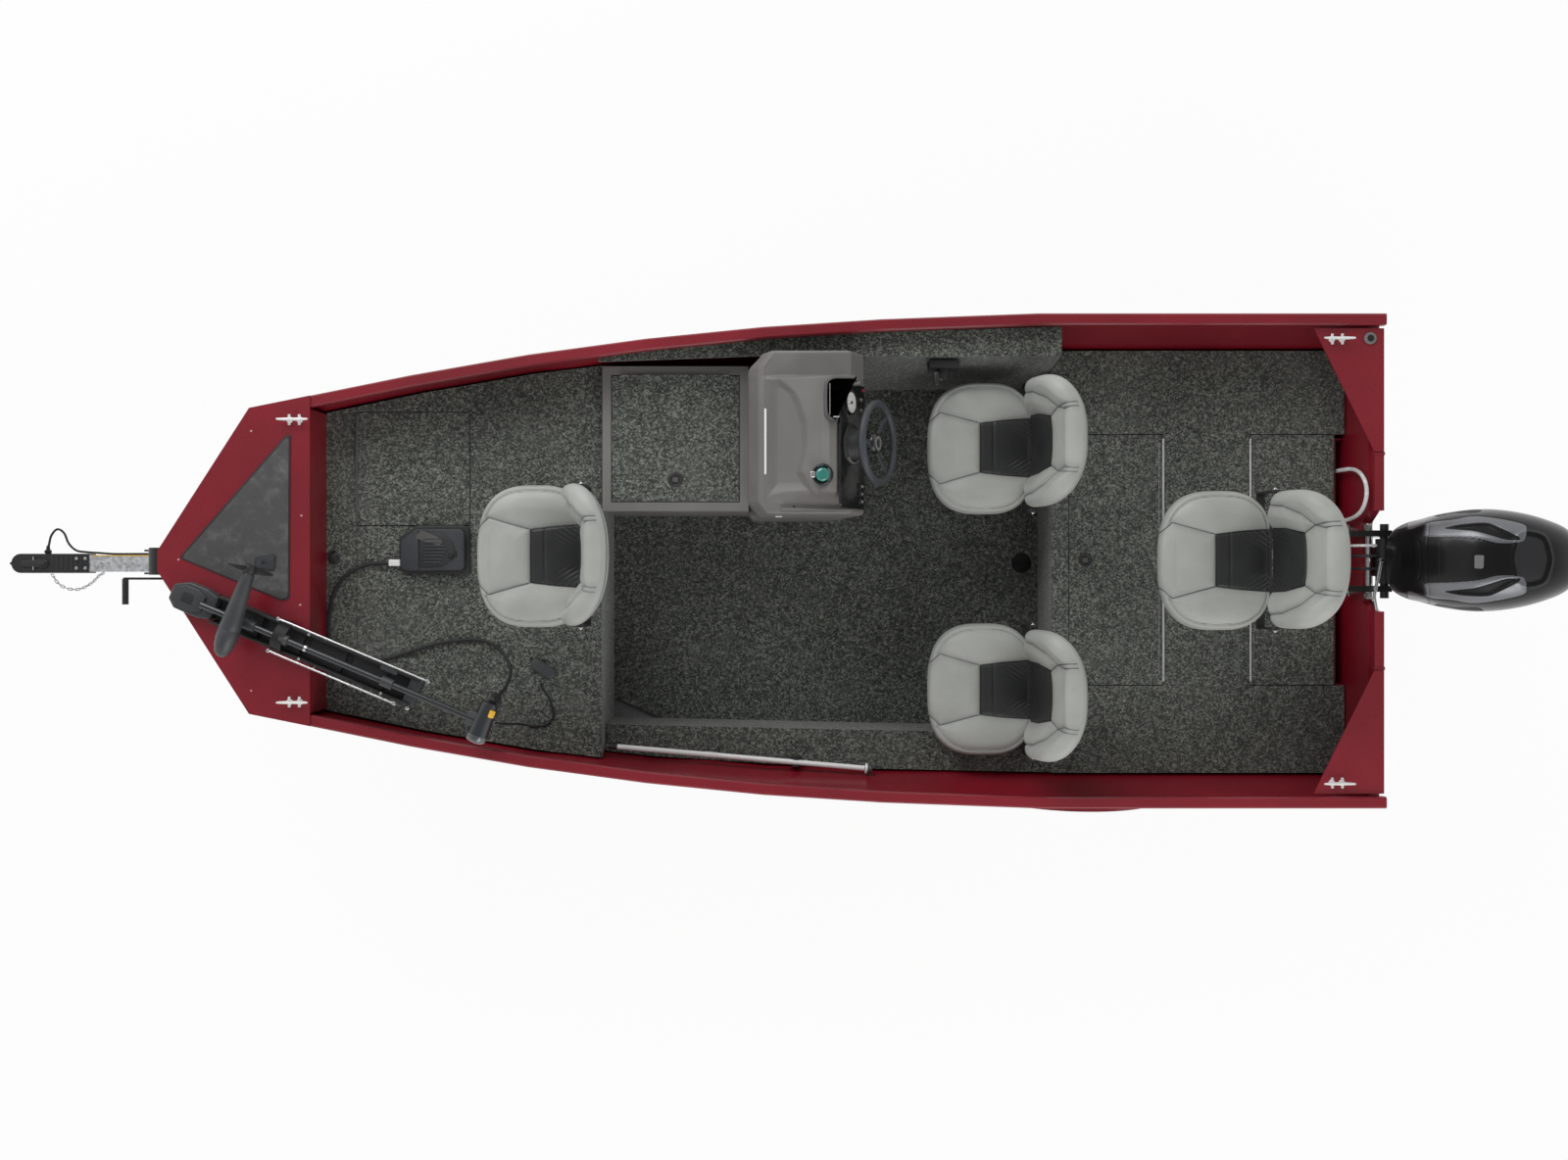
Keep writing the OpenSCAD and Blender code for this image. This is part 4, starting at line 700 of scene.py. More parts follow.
# back: outline is a superellipse in width and height; its wings come forward as |y|^2.4
def backSheet(u, v, front):
    rho, cosine, sine = discPolar(u, v)
    middle = (seat["backHigh"] + seat["backLow"]) / 2
    tall = (seat["backHigh"] - seat["backLow"]) / 2
    plan = superRadius(cosine, sine, tall, seat["backHalfWidth"], 3.4)
    edge = 0.76
    roll = np.clip((rho - edge) / (1 - edge), 0, 1)
    angle = roll * np.pi / 2
    scale = np.where(rho < edge, rho / edge * 0.84, 0.84 + 0.16 * np.sin(angle))
    thick = seat["backThick"] * np.where(rho < edge, 1.0, np.cos(angle))
    h = middle + plan * scale * cosine
    y = plan * scale * sine * (1 - 0.12 * eased(-h, -0.14, 0.04))
    side = np.abs(y)
    wrap = -seat["wing"] * (side / 0.25) ** 2.4
    centre = 0.040 + wrap + 0.028 * eased(h, 0.12, 0.38)
    far = np.full(np.shape(h), 0.2)
    if not front:
        x = centre + thick * 0.75 + 0.008 * (1 - rho ** 2)
        ring = np.abs(scale - 0.93) * plan
        x = x - 0.003 * np.exp(-(ring / 0.004) ** 2)
        return np.stack([x, y, h], -1), {"seam": ring, "insert": -far, "rim": far}
    top, topSide = seat["backInsert"][-1]
    insertSide = np.interp(h, *zip(*seat["backInsert"]))
    insert = np.minimum(insertSide - side, top - h)
    outside = np.where(h > top, np.hypot(h - top, np.maximum(side - topSide, 0)),
                       np.abs(side - insertSide))
    seam = np.where(insert > 0, insert, outside)
    for line in ("backCorner", "tuck", "wingSeam"):
        seam = np.minimum(seam, lineDistance(h, side, seat[line]))
    inside = insert > 0
    puff = 0.016 * (1 - np.exp(-seam / 0.03)) * np.where(inside, 0.25, 1.0)
    bolster = 0.012 * eased(side, 0.11, 0.19)
    window = eased(side, 0.03, 0.08) * (1 - eased(side, insertSide - 0.012, insertSide))
    fold = np.where(inside, 0.0016 * foldWaves(-h, side, y) * window
                    * (1 - eased(h, 0.04, 0.16)), 0.0)
    x = centre - thick - (puff + bolster) * (1 - roll) ** 1.2 - fold
    x = x + 0.0045 * np.exp(-(seam / 0.0045) ** 2) * (1 - roll)
    x = np.where(rho > 0.999999, centre, x)
    return np.stack([x, y, h], -1), {"seam": seam, "insert": insert, "rim": far}


# grey vinyl with the black insert: both colours, painted shade along and in the seams, and the
# piping
def seatFinish():
    f = Finish("seatVinyl", (0.34, 0.35, 0.325), 0.42, Specular_IOR_Level=0.45)
    drift = f.noise(6.0, 4.0)
    seam = f.attribute("seam")
    insert = f.attribute("insert").ease(-0.0004, 0.0004)
    grey = f.blendColour(drift.ease(0.3, 0.75), (0.335, 0.345, 0.32), (0.39, 0.4, 0.375))
    # painted shade: the grey darkens within 3 cm of every seam
    grey = f.blendColour((1.0 - seam.ease(0.002, 0.03)) * 0.25, grey, (0.2, 0.205, 0.195))
    # painted shade: a near-black line in each seam's groove
    grey = f.blendColour((1.0 - seam.ease(0.0006, 0.0036)) * 0.85, grey, (0.045, 0.047, 0.045))
    black = f.blendColour(drift.ease(0.3, 0.75), (0.016, 0.0165, 0.0175),
                          (0.026, 0.0265, 0.028))
    # painted shade: the black insert darkens further in each seam's groove
    black = f.blendColour((1.0 - seam.ease(0.002, 0.008)) * 0.9, black, (0.002, 0.002, 0.002))
    f.set("Base Color", f.blendColour(insert, grey, black))
    f.set("Roughness", 0.36 + 0.12 * f.noise(18.0, 3.0))
    f.bump(f.cells(430.0, "DISTANCE_TO_EDGE").smaller(0.22), 0.0014, 0.3)
    f.bump(1.0 - f.attribute("rim").ease(0.0, 0.005), 0.003, 0.9)
    # stitches 6 mm apart beside every seam
    x, y, z = f.axes()
    stitch = ((x + y) * 520.0).wave().above(0.1) * seam.ease(0.0045, 0.0055) \
        * (1.0 - seam.ease(0.0055, 0.0065))
    f.bump(stitch, 0.0006, 0.5)
    return f.material


finish["seat"] = seatFinish()

for name in seatNames:
    low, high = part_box("seat_cushion_" + name)
    seat["halfWidth"] = (high[1] - low[1]) / 2
    seat["height"] = high[2] - low[2]
    x, y = low[0] + seat["front"], (low[1] + high[1]) / 2
    mesh = pillowMesh("cushion_" + name, cushionSheet, seat["grid"])
    mesh.transform(Matrix.Translation((x, y, low[2])))
    cushion = addObject("cushion_" + name, mesh, "seat_" + name, "seat", "seat_cushion_" + name)
    mesh = pillowMesh("back_" + name, backSheet, seat["grid"])
    hinge = Vector((x + seat["hinge"][0], y, high[2] + seat["hinge"][1]))
    mesh.transform(Matrix.Translation(hinge) @ Matrix.Rotation(math.radians(seat["lean"]), 4, "Y"))
    back = addObject("back_" + name, mesh, "back_" + name, "seat", "seat_back_" + name)
    # hinge bolts: a bright head on a black washer, on both sides
    for way in (-1, 1):
        at = (hinge.x, y + way * (seat["halfWidth"] - 0.004), hinge.z)
        addPieces("hingeBolt_%s_%d" % (name, way), "seat_" + name, ["bright", "powderBlack"],
                  [[discPart(at, 0.011, 0.004, (0, way, 0)),
                    discPart((at[0], at[1] + way * 0.003, at[2]), 0.0065, 0.006, (0, way, 0),
                             0.3, 6)],
                   [discPart((at[0], at[1] - way * 0.012, at[2]), 0.019, 0.0115, (0, way, 0))]])
print("seats done")


# outboard: cowl, propeller and steering link

low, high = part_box("motor_cowl")
cowl = {"x": low[0], "length": high[0] - low[0], "half": (high[1] - low[1]) / 2, "z": low[2],
        # share of the length, share of the half width, underside and top above the foot
        "rows": [(0.0, 0.46, 0.014, 0.145), (0.035, 0.64, 0.004, 0.21), (0.10, 0.76, 0.0, 0.272),
                 (0.17, 0.82, 0.0, 0.318), (0.30, 0.93, 0.0, 0.385), (0.48, 0.995, 0.004, 0.428),
                 (0.66, 0.93, 0.012, 0.438), (0.83, 0.78, 0.026, 0.41), (0.93, 0.65, 0.044, 0.35),
                 (0.98, 0.48, 0.062, 0.29), (1.0, 0.30, 0.09, 0.24)],
        "accent": [(0.113, 0.095), (0.227, 0.089), (0.328, 0.081), (0.408, 0.063), (0.5, 0.07),
                   (0.512, 0.105), (0.496, 0.14), (0.328, 0.17), (0.227, 0.158), (0.12, 0.143)],
        "scoop": [(0.195, 0.121), (0.252, 0.137), (0.353, 0.143), (0.403, 0.127), (0.49, 0.079),
                  (0.434, 0.076), (0.378, 0.092), (0.303, 0.112)],
        "rear": [(0.475, -0.05), (0.482, 0.06), (0.50, 0.092), (0.55, 0.090), (0.585, 0.062),
                 (0.595, -0.05)],
        "hood": [(0.012, -0.05), (0.014, 0.066), (0.03, 0.076), (0.082, 0.074), (0.096, 0.06),
                 (0.099, -0.05)],
        "eye": (0.272, 6.6), "drawn": 1.353,
        "label": [(0.310, -0.035), (0.310, 0.018), (0.348, 0.016), (0.346, -0.037)],
        "pan": [(0.05, 0.125), (0.13, 0.158), (0.20, 0.185), (0.19, 0.21), (0.05, 0.21)],
        "vent": [(0.15, 0.172), (0.24, 0.182), (0.33, 0.186), (0.33, 0.22), (0.15, 0.22)]}


# distance to a closed outline, positive inside it (even-odd rule over its edges)
def outlineDepth(x, y, corners, rounded=True):
    loop = np.asarray(corners, float)
    if rounded:
        loop = smoothPath(np.concatenate([loop[-2:], loop, loop[:2]]), 4)[8:-8]
    ends = np.roll(loop, -1, 0)
    inside = np.zeros(np.shape(x), bool)
    for (ax, ay), (bx, by) in zip(loop, ends):
        crosses = ((ay > y) != (by > y))
        inside ^= crosses & (x < ax + (y - ay) * (bx - ax) / ((by - ay) if by != ay else 1e-9))
    distance = lineDistance(x, y, np.concatenate([loop, loop[:1]]).tolist())
    return np.where(inside, distance, -distance)


# cowl: each ring is a superellipse about its widest height, 35 % up; panels are cut by depth
def cowlMesh():
    rows = smoothPath(cowl["rows"], 22)
    angle = -np.linspace(0, 2 * np.pi, 240, endpoint=False)
    cosine, sine = np.cos(angle), np.sin(angle)
    x = (rows[:, 0] * cowl["length"])[:, None] + 0 * angle
    half = (rows[:, 1] * cowl["half"])[:, None]
    lo, hi = rows[:, 2][:, None], rows[:, 3][:, None]
    waist = lo + 0.35 * (hi - lo)
    y = half * np.sign(cosine) * np.abs(cosine) ** np.where(sine > 0, 0.72, 0.5)
    z = np.where(sine > 0, waist + (hi - waist) * np.abs(sine) ** 0.86,
                 waist - (waist - lo) * np.abs(sine) ** 0.6)
    # the outlines are drawn at one height, as an eye above the boat sees them
    scale = (cowl["eye"][1] - cowl["drawn"]) / (cowl["eye"][1] - cowl["z"] - z)
    seen = (cowl["x"] + x - cowl["eye"][0]) * scale + cowl["eye"][0] - cowl["x"]
    side = np.abs(y) * scale
    top = sine > 0.02
    depths = {key: np.where(top, outlineDepth(seen, side, cowl[key]), -0.1)
              for key in ("accent", "scoop", "rear", "hood", "pan", "vent")}
    cut = 0.012 * eased(depths["scoop"], 0.0, 0.010) - 0.0022 * eased(depths["accent"], 0, 0.003)
    cut = cut + 0.005 * eased(depths["rear"], 0.0, 0.006) + 0.007 * eased(depths["vent"], 0, 0.005)
    for key in ("hood", "accent", "pan"):
        cut = cut + 0.0022 * np.exp(-(depths[key] / 0.0018) ** 2)
    # two seams across the crown and the joint between the cover and the pan
    across = np.where(top, np.abs(seen - 0.118 - 0.10 * side), 1.0)
    middle = np.where(top & (side < 0.07), np.abs(seen - 0.176 - 0.25 * side ** 2), 1.0)
    joint = np.abs(z - waist + 0.012 - 0.04 * (x / cowl["length"]))
    for line, size in ((across, 0.002), (middle, 0.0012), (joint, 0.004)):
        cut = cut + size * np.exp(-(line / 0.0018) ** 2)
    slats = 0.003 * np.maximum(0, np.sin((z - waist) * 420.0)) * (depths["vent"] > 0.004)
    rise = 0.004 * np.exp(-((depths["rear"] + 0.012) / 0.006) ** 2)
    shrink = 1 - (cut + slats - rise) / np.maximum(np.hypot(y, z - waist), 0.03)
    y, z = y * shrink, waist + (z - waist) * shrink
    part = stackPart(np.stack([cowl["x"] + x, y, cowl["z"] + z], -1))
    zones = {"accent": np.minimum(depths["accent"], -depths["scoop"]), "rear": depths["rear"],
             "scoop": np.maximum(depths["scoop"], depths["vent"]), "pan": depths["pan"],
             "label": np.where(top, outlineDepth(seen, y * scale, cowl["label"], False), -0.1)}
    return meshFrom("cowl", part, zones)


def cowlFinish():
    f = Finish("cowlShell", (0.0045, 0.0045, 0.005), 0.2, Coat_Weight=0.1,
               Coat_Roughness=0.08, Specular_IOR_Level=0.25)
    dust = f.noise(30.0, 6.0, 0.75)
    flake = f.cellValue(1400.0)
    black = f.blendColour(dust.ease(0.55, 0.85) * 0.3, (0.0045, 0.0045, 0.005),
                          (0.02, 0.02, 0.021))
    graphite = f.blendColour(flake.above(0.75) * 0.35, (0.16, 0.163, 0.175),
                             (0.32, 0.325, 0.34))
    accent = f.attribute("accent").ease(0.0, 0.0008)
    pan = f.attribute("pan").ease(0.0, 0.0008)
    colour = f.blendColour(f.attribute("rear").ease(0.003, 0.0045), black, (0.022, 0.022, 0.024))
    colour = f.blendColour(accent.larger(pan), colour, graphite)
    colour = f.blendColour(f.attribute("label").ease(0.0, 0.0008), colour, (0.16, 0.16, 0.165))
    f.set("Base Color", colour)
    f.set("Roughness", 0.24 + 0.1 * dust + 0.06 * accent
          + 0.4 * f.attribute("scoop").ease(0.0, 0.002)
          + 0.25 * f.attribute("rear").ease(0.0, 0.004))
    f.set("Metallic", accent.larger(pan) * 0.55)
    f.bump(f.noise(55.0, 1.0), 0.0004, 0.12)
    return f.material


finish["cowlShell"] = cowlFinish()
addObject("cowl", cowlMesh(), "outboard", "cowlShell", "motor_cowl")


# propeller: hub and three skewed blades; a blade's angle is its pitch, atan(p / 2 pi r)
def propellerParts(centre, axis, hub, tip, width, hubLength, blades, pitch, skew=0.5,
                   thick=0.006):
    parts = [spunPart([(hub * 0.9, 0), (hub, hubLength * 0.12), (hub, hubLength * 0.7),
                       (hub * 0.86, hubLength), (hub * 0.6, hubLength), (hub * 0.55,
                        hubLength * 0.8), (0.002, hubLength * 0.8)], (0, 0, 0))]
    share = np.linspace(0, 1, 24)[:, None]
    chord = np.linspace(-1, 1, 21)[None, :]
    r = hub * 0.9 + (tip - hub * 0.9) * share
    half = width / 2 * np.sqrt(np.clip(1 - (2 * share - 0.86) ** 2 / 1.32, 0.002, 1))
    lean = skew * 0.35 * share ** 2
    along = chord * half
    slope = np.arctan(pitch / (2 * np.pi * r))
    turn = along * np.cos(slope) / r + lean
    rise = hubLength * 0.42 + along * np.sin(slope) + 0.03 * tip * share
    wall = thick * (1 - 0.75 * share) * np.sqrt(np.clip(1 - chord ** 2, 0.01, 1)) / 2
    faces = gridFaces(24, 21)
    for k in range(blades):
        a = turn + 2 * np.pi * k / blades
        upper = np.stack([r * np.cos(a), r * np.sin(a), rise + wall], -1)
        lower = np.stack([r * np.cos(a), r * np.sin(a), rise - wall], -1)
        ring = np.concatenate([upper[0], upper[1:, -1], upper[-1, -2::-1], upper[-2:0:-1, 0]])
        under = np.concatenate([lower[0], lower[1:, -1], lower[-1, -2::-1], lower[-2:0:-1, 0]])
        n = len(ring)
        rim = [[i, i + n, (i + 1) % n + n, (i + 1) % n] for i in range(n)]
        parts += [(upper.reshape(-1, 3), faces), (lower.reshape(-1, 3), [f[::-1] for f in faces]),
                  (np.concatenate([ring, under]), rim)]
    parts = [aimed(part, axis) for part in parts]
    return [moved(part, *centre) for part in parts]


shaftHeight = 0.44
addPieces("propellerBlades", "main_propeller", ["motorBlack"],
          [propellerParts((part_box("motor_leg")[1][0] - 0.113, 0, shaftHeight), (1, 0, 0),
                          0.044, 0.148, 0.116, 0.105, 3, 0.40)], "propeller", sharp=40)

# steering: a bright tube across the clamp, and the cranked link rod from its end
steering = {"x": 2.645, "z": 1.1475, "radius": 0.013, "half": 0.152, "nut": 0.139}
tubeSpan = [(steering["x"], way * steering["half"], steering["z"]) for way in (-1, 1)]
tubeNut = [(0.013, -0.012), (0.018, -0.010), (0.018, 0.010), (0.013, 0.012)]
addPieces("steeringTube", root, ["bright"],
          [[tubePart(tubeSpan, steering["radius"], 20)]
           + [spunPart(tubeNut, (steering["x"], way * steering["nut"], steering["z"]),
                       (0, 1, 0), 6) for way in (-1, 1)]], sharp=40)
link = smoothPath([(2.668, 0.003, 1.214), (2.655, -0.066, 1.214), (2.641, -0.135, 1.214),
                   (2.642, -0.156, 1.214), (2.652, -0.21, 1.214), (2.664, -0.262, 1.216)], 6)
bolts = [spunPart([(0.004, -0.022), (0.010, -0.012), (0.010, 0.008), (0.007, 0.012)],
                  (x, y, z), (0, 0, 1), 6)
         for x, y, z in ((2.668, 0.003, 1.214), (2.645, -0.112, 1.205), (2.664, -0.262, 1.216))]
addPieces("steeringLink", root, ["bright"], [[tubePart(link, 0.0065, 14)] + bolts], sharp=40)
print("outboard done")


# helm: console, dash, gauges, compass and steering wheel

low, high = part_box("console")
console = {"y": (low[1], high[1]), "round": 0.014,
           # height along x: of the platform in the middle, and of the two outer strips
           "platform": [(0.129, 1.262), (0.133, 1.30), (0.170, 1.366), (0.178, 1.374),
                        (0.190, 1.380), (0.30, 1.428), (0.445, 1.492), (0.470, 1.478),
                        (0.487, 1.458), (0.587, 1.27)],
           "strip": [(0.129, 1.262), (0.133, 1.30), (0.170, 1.360), (0.178, 1.368),
                     (0.192, 1.370), (0.522, 1.372), (0.534, 1.364), (0.587, 1.27)],
           "ridge": [(0.20, 0.41), (0.282, 0.379), (0.339, 0.347), (0.437, 0.366),
                     (0.527, 0.364), (0.60, 0.342), (0.65, 0.318), (0.715, 0.241)],
           "dish": 0.027, "knee": ((0.189, 0.24, 0.5), (0.72, 0.76, 1.10)),
           "wheel": (0.635, 0.450, 1.440), "tilt": 27.0, "wheelRadius": 0.151, "rim": 0.0138}


# height of the console's top: strips at both sides, a platform between them, and in it a dish
# whose walls are ramps: lowest ramp of the four sides wins
def consoleHeight(x, y):
    platform = np.interp(x, *zip(*console["platform"]))
    strip = np.interp(x, *zip(*console["strip"]))
    middle = eased(y, 0.214, 0.270) * (1 - eased(y, 0.700, 0.722))
    ridge = np.interp(y, *zip(*console["ridge"]))
    ramps = [(x - 0.194) / 0.055, (ridge - x) / 0.030, (0.712 - y) / 0.040, (y - 0.232) / 0.070]
    ramp = np.clip(np.minimum.reduce(ramps), 0, 1)
    fold = 0.0018 * np.exp(-((x - 0.194) / 0.004) ** 2)
    step = 0.006 * (1 - eased(x, 0.47, 0.48)) * eased(x - 0.03 * eased(y, 0.5, 0.7), 0.405, 0.414)
    sunk = console["dish"] * eased(ramp, -0.15, 1.15)
    return strip + (platform + step - sunk - strip) * middle \
        + fold * eased(y, 0.2, 0.22) * (1 - eased(y, 0.78, 0.8)) - 0.006 * middle


def consoleBody():
    yEdge, e = console["y"], console["round"]
    t = np.linspace(0, 1, 9)
    y = np.concatenate([yEdge[0] + e * (1 - np.cos(t * np.pi / 2)),
                        np.linspace(yEdge[0] + e, yEdge[1] - e, 170)[1:-1],
                        yEdge[1] - e * (1 - np.cos(t[::-1] * np.pi / 2))])
    inset = e * (1 - np.sqrt(np.clip(1 - ((e - np.minimum(y - yEdge[0], yEdge[1] - y))
                                          .clip(0) / e) ** 2, 0, 1)))
    top = np.concatenate([np.linspace(0.129, 0.20, 40), np.linspace(0.20, 0.48, 110)[1:],
                          np.linspace(0.48, 0.587, 40)[1:]])
    x = np.repeat(top[None], len(y), 0)
    z = consoleHeight(x, y[:, None] + 0 * x)
    ends = [np.linspace((0.587, 1.27), (0.569, 1.18), 8), np.linspace((0.569, 1.18),
            (0.469, 0.66), 30), np.linspace((0.469, 0.66), (0.129, 0.66), 20),
            np.linspace((0.129, 0.66), (0.129, 1.262), 30)]
    rest = np.concatenate([end[1:] for end in ends])[:-1]
    x = np.concatenate([x, np.repeat(rest[None, :, 0], len(y), 0)], 1)
    z = np.concatenate([z, np.repeat(rest[None, :, 1], len(y), 0)], 1)
    corner = 0.05 * eased(y, 0.745, 0.82) + 0.03 * (1 - eased(y, 0.18, 0.235))
    x = x + corner[:, None] * (1 - eased(x, 0.13, 0.36)) * (z > 1.0)
    ahead = np.stack([np.roll(x, -1, 1) - np.roll(x, 1, 1), np.roll(z, -1, 1)
                      - np.roll(z, 1, 1)], -1)
    ahead /= np.linalg.norm(ahead, axis=2)[..., None]
    x = x + inset[:, None] * ahead[..., 1]
    z = z - inset[:, None] * ahead[..., 0]
    lean = 0.768 + 0.053 * np.clip((z - 0.659) / 0.181, 0, 1)
    points = np.stack([x, np.minimum(y[:, None] + 0 * x, np.where(z < 0.84, lean, 1.0)), z], -1)
    return points.reshape(-1, 3), stackPart(points)[1]


# cuts one body out of another, exactly, and gives the mesh that is left
def cutMesh(name, part, cutter):
    body = bpy.data.objects.new(name, meshFrom(name, part))
    tool = bpy.data.objects.new(name + "Tool", meshFrom(name + "Tool", cutter))
    for one in (body, tool):
        bpy.context.scene.collection.objects.link(one)
    change = body.modifiers.new("cut", "BOOLEAN")
    change.operation, change.solver, change.object = "DIFFERENCE", "EXACT", tool
    ready = body.evaluated_get(bpy.context.evaluated_depsgraph_get())
    mesh = bpy.data.meshes.new_from_object(ready)
    for one in (body, tool):
        bpy.data.objects.remove(one)
    return mesh


knee = boxPart(*console["knee"], 0.004, 0.012)
shell = addObject("consoleShell", cutMesh("consoleCut", consoleBody(), knee), root, "moulding",
                  "console")
shell.data.set_sharp_from_angle(angle=math.radians(38))


# bar bent along a path in plan: the outline is the path moved sideways both ways
def bentBar(path, width, low, high, edge):
    path = np.asarray(path, float)
    ahead = np.gradient(path, axis=0)
    ahead /= np.linalg.norm(ahead, axis=1)[:, None]
    aside = np.stack([-ahead[:, 1], ahead[:, 0]], -1) * width / 2
    return slabPart(np.concatenate([path - aside, (path + aside)[::-1]]), low, high, edge)


# dash: pieces made flat, then laid on the slope; u runs down the slope, v across to starboard
slopeTop, slopeFoot = np.array([0.487, 0.0, 1.460]), np.array([0.587, 0.0, 1.2745])
downSlope = (slopeFoot - slopeTop) / np.linalg.norm(slopeFoot - slopeTop)
slopeUp = np.cross(downSlope, (0, 1, 0))


def onDash(part, u, v, rise=0.0):
    return laid(part, slopeTop + downSlope * u + np.array([0, v, 0]) + slopeUp * rise,
                downSlope, slopeUp)


hoodPath = smoothPath([(0.553, 0.6885), (0.50, 0.6885), (0.462, 0.688), (0.440, 0.676),
                       (0.434, 0.65), (0.434, 0.575), (0.439, 0.548), (0.455, 0.539),
                       (0.475, 0.5385)], 6)
innerPath = smoothPath([(0.56, 0.672), (0.50, 0.672), (0.470, 0.670), (0.459, 0.655),
                        (0.457, 0.60), (0.458, 0.562), (0.465, 0.554), (0.480, 0.553)], 6)
addPieces("gaugeHood", root, ["mouldingDark", "moulding", "blackPlastic", "bright"],
          [[bentBar(hoodPath, 0.022, 1.455, 1.5235, 0.009)],
           # painted highlight: the inner lip is a thinner bar in the lighter grey moulding
           [bentBar(innerPath, 0.011, 1.47, 1.517, 0.004)],
           [onDash(slabPart(boxOutline(-0.052, 0.553, 0.004, 0.672, 0.006), 0.0, 0.0075, 0.003),
                   0, 0)],
           # painted highlight: thin bright strips along the hood's top edge and at its corner
           [bentBar([(0.4455, 0.548), (0.4455, 0.668)], 0.0028, 1.521, 1.5252, 0.001),
            bentBar([(0.458, 0.5415), (0.481, 0.5425)], 0.0055, 1.521, 1.525, 0.001)]],
          sharp=40)

dashParts = [onDash(slabPart(boxOutline(-0.012, 0.202, 0.205, 0.690, (0.022, 0.004, 0.004, 0.022),
                                        8), 0.0, 0.0075, 0.004), 0, 0)]
gauge = (0.078, 0.612)
gaugeRim = [(0.047, 0.0), (0.048, 0.004), (0.0455, 0.0068), (0.0415, 0.0062), (0.0405, 0.0032),
            (0.002, 0.0032)]
ticks = [turned(boxPart((0.030, -0.0005, 0), (0.037, 0.0005, 0.0005), 0.0002), (0, 0, 1), angle)
         for angle in range(-210, 31, 24)]
switches = [(0.165, v) for v in (0.232, 0.262, 0.292)]
addPieces("dashPanel", root, ["dashBlack", "blackPlastic", "white", "lens", "moulding"],
          [dashParts + [onDash(spunPart(gaugeRim, sides=56), *gauge, 0.0072)]
           + [onDash(tick, *gauge, 0.0112) for tick in ticks],
           [onDash(boxPart((u - 0.017, v - 0.010, 0.007), (u + 0.017, v + 0.010, 0.0135), 0.002),
                   0, 0) for u, v in switches]
           + [onDash(discPart((0, 0, 0), 0.006, 0.003), *gauge, 0.0112)],
           [onDash(discPart((0, 0, 0), 0.0398, 0.0012, sides=48), *gauge, 0.0104)]
           + [onDash(boxPart((u + 0.004, v - 0.0035, 0.0135), (u + 0.011, v + 0.0035, 0.0142),
                             0.0003), 0, 0) for u, v in switches],
           [onDash(discPart((0, 0, 0), 0.0055, 0.004), 0.190, 0.672, 0.0075)]
           + [onDash(turned(boxPart((0.0, -0.0009, 0), (0.033, 0.0009, 0.0006), 0.0002),
                            (0, 0, 1), 200), *gauge, 0.0118)],
           [onDash(discPart((0, 0, 0), 0.007, 0.008), 0.165, v, 0.0075) for v in (0.59, 0.632)]],
          "dash", sharp=40)

# steering wheel: rim with a palm swell, three flat spokes bent down to a domed hub
tilt = math.radians(console["tilt"])
wheelAxis = np.array([math.cos(tilt), 0.0, math.sin(tilt)])
hubPlace = np.array(console["wheel"])


def atHelm(part, rise=0.0):
    return moved(aimed(part, wheelAxis), *(hubPlace + wheelAxis * rise))


def wheelRim(radius, thick):
    sides, count = 24, 160
    a = np.linspace(0, 2 * np.pi, count, endpoint=False)[:, None]
    b = np.linspace(0, 2 * np.pi, sides, endpoint=False)[None, :]
    # shallow finger swells along the inside of the rim
    r = thick * (1 + 0.05 * np.cos(24 * a) * np.clip(-np.cos(b), 0, 1))
    ring = radius + r * np.cos(b)
    points = np.stack([ring * np.cos(a), ring * np.sin(a), r * np.sin(b) + 0 * a], -1)
    return points.reshape(-1, 3), gridFaces(count, sides, True, True)


# spoke: an ellipse section carried from the hub to the rim, narrower in the middle
def spokePart(angle):
    t = np.linspace(0, 1, 18)[:, None]
    b = -np.linspace(0, 2 * np.pi, 20, endpoint=False)[None, :]
    along = 0.026 + 0.124 * t
    half = 0.0135 - 0.004 * np.sin(np.pi * t)
    y = half * np.cos(b)
    z = -0.016 + 0.013 * t ** 2 + 0.004 * np.sin(b)
    return turned(stackPart(np.stack([along + 0 * b, y, z + 0 * y], -1)), (0, 0, 1), angle)


hubCap = [(0.034, -0.021), (0.04, -0.018), (0.041, -0.01), (0.036, -0.003), (0.024, 0.0005),
          (0.002, 0.0015)]
hubRing = [(0.0285, -0.0035), (0.0285, 0.0), (0.027, 0.0012), (0.0195, 0.002), (0.018, 0.0008),
           (0.018, -0.0035)]
column = [(0.012, -0.135), (0.012, -0.095), (0.017, -0.088), (0.021, -0.05), (0.024, -0.021)]
bootShape = [(0.078, -0.1165), (0.081, -0.110), (0.078, -0.1055), (0.066, -0.1055),
             (0.062, -0.101), (0.060, -0.078), (0.050, -0.060), (0.038, -0.054),
             (0.030, -0.054), (0.027, -0.062)]
spun = [spunPart(profile, sides=64) for profile in (hubCap, column, bootShape)]
ringPart = closedSpin(hubRing, 64)
addPieces("helmWheel", "helm_wheel", ["wheelGrip", "dashBlack", "moulding"],
          [[atHelm(wheelRim(console["wheelRadius"], console["rim"]))]
           + [atHelm(spokePart(angle)) for angle in (-40, 90, 220)],
           [atHelm(spun[0]), atHelm(spun[1])], [atHelm(ringPart)]], "steering_wheel", sharp=50)
addPieces("helmBoot", root, ["blackPlastic", "moulding"],
          [[atHelm(spun[2])], [atHelm(tubePart([(0.0715 * math.cos(t), 0.0715 * math.sin(t), 0)
                                               for t in np.linspace(2.4, 3.9, 24)], 0.0042, 8),
                                      -0.105)]])

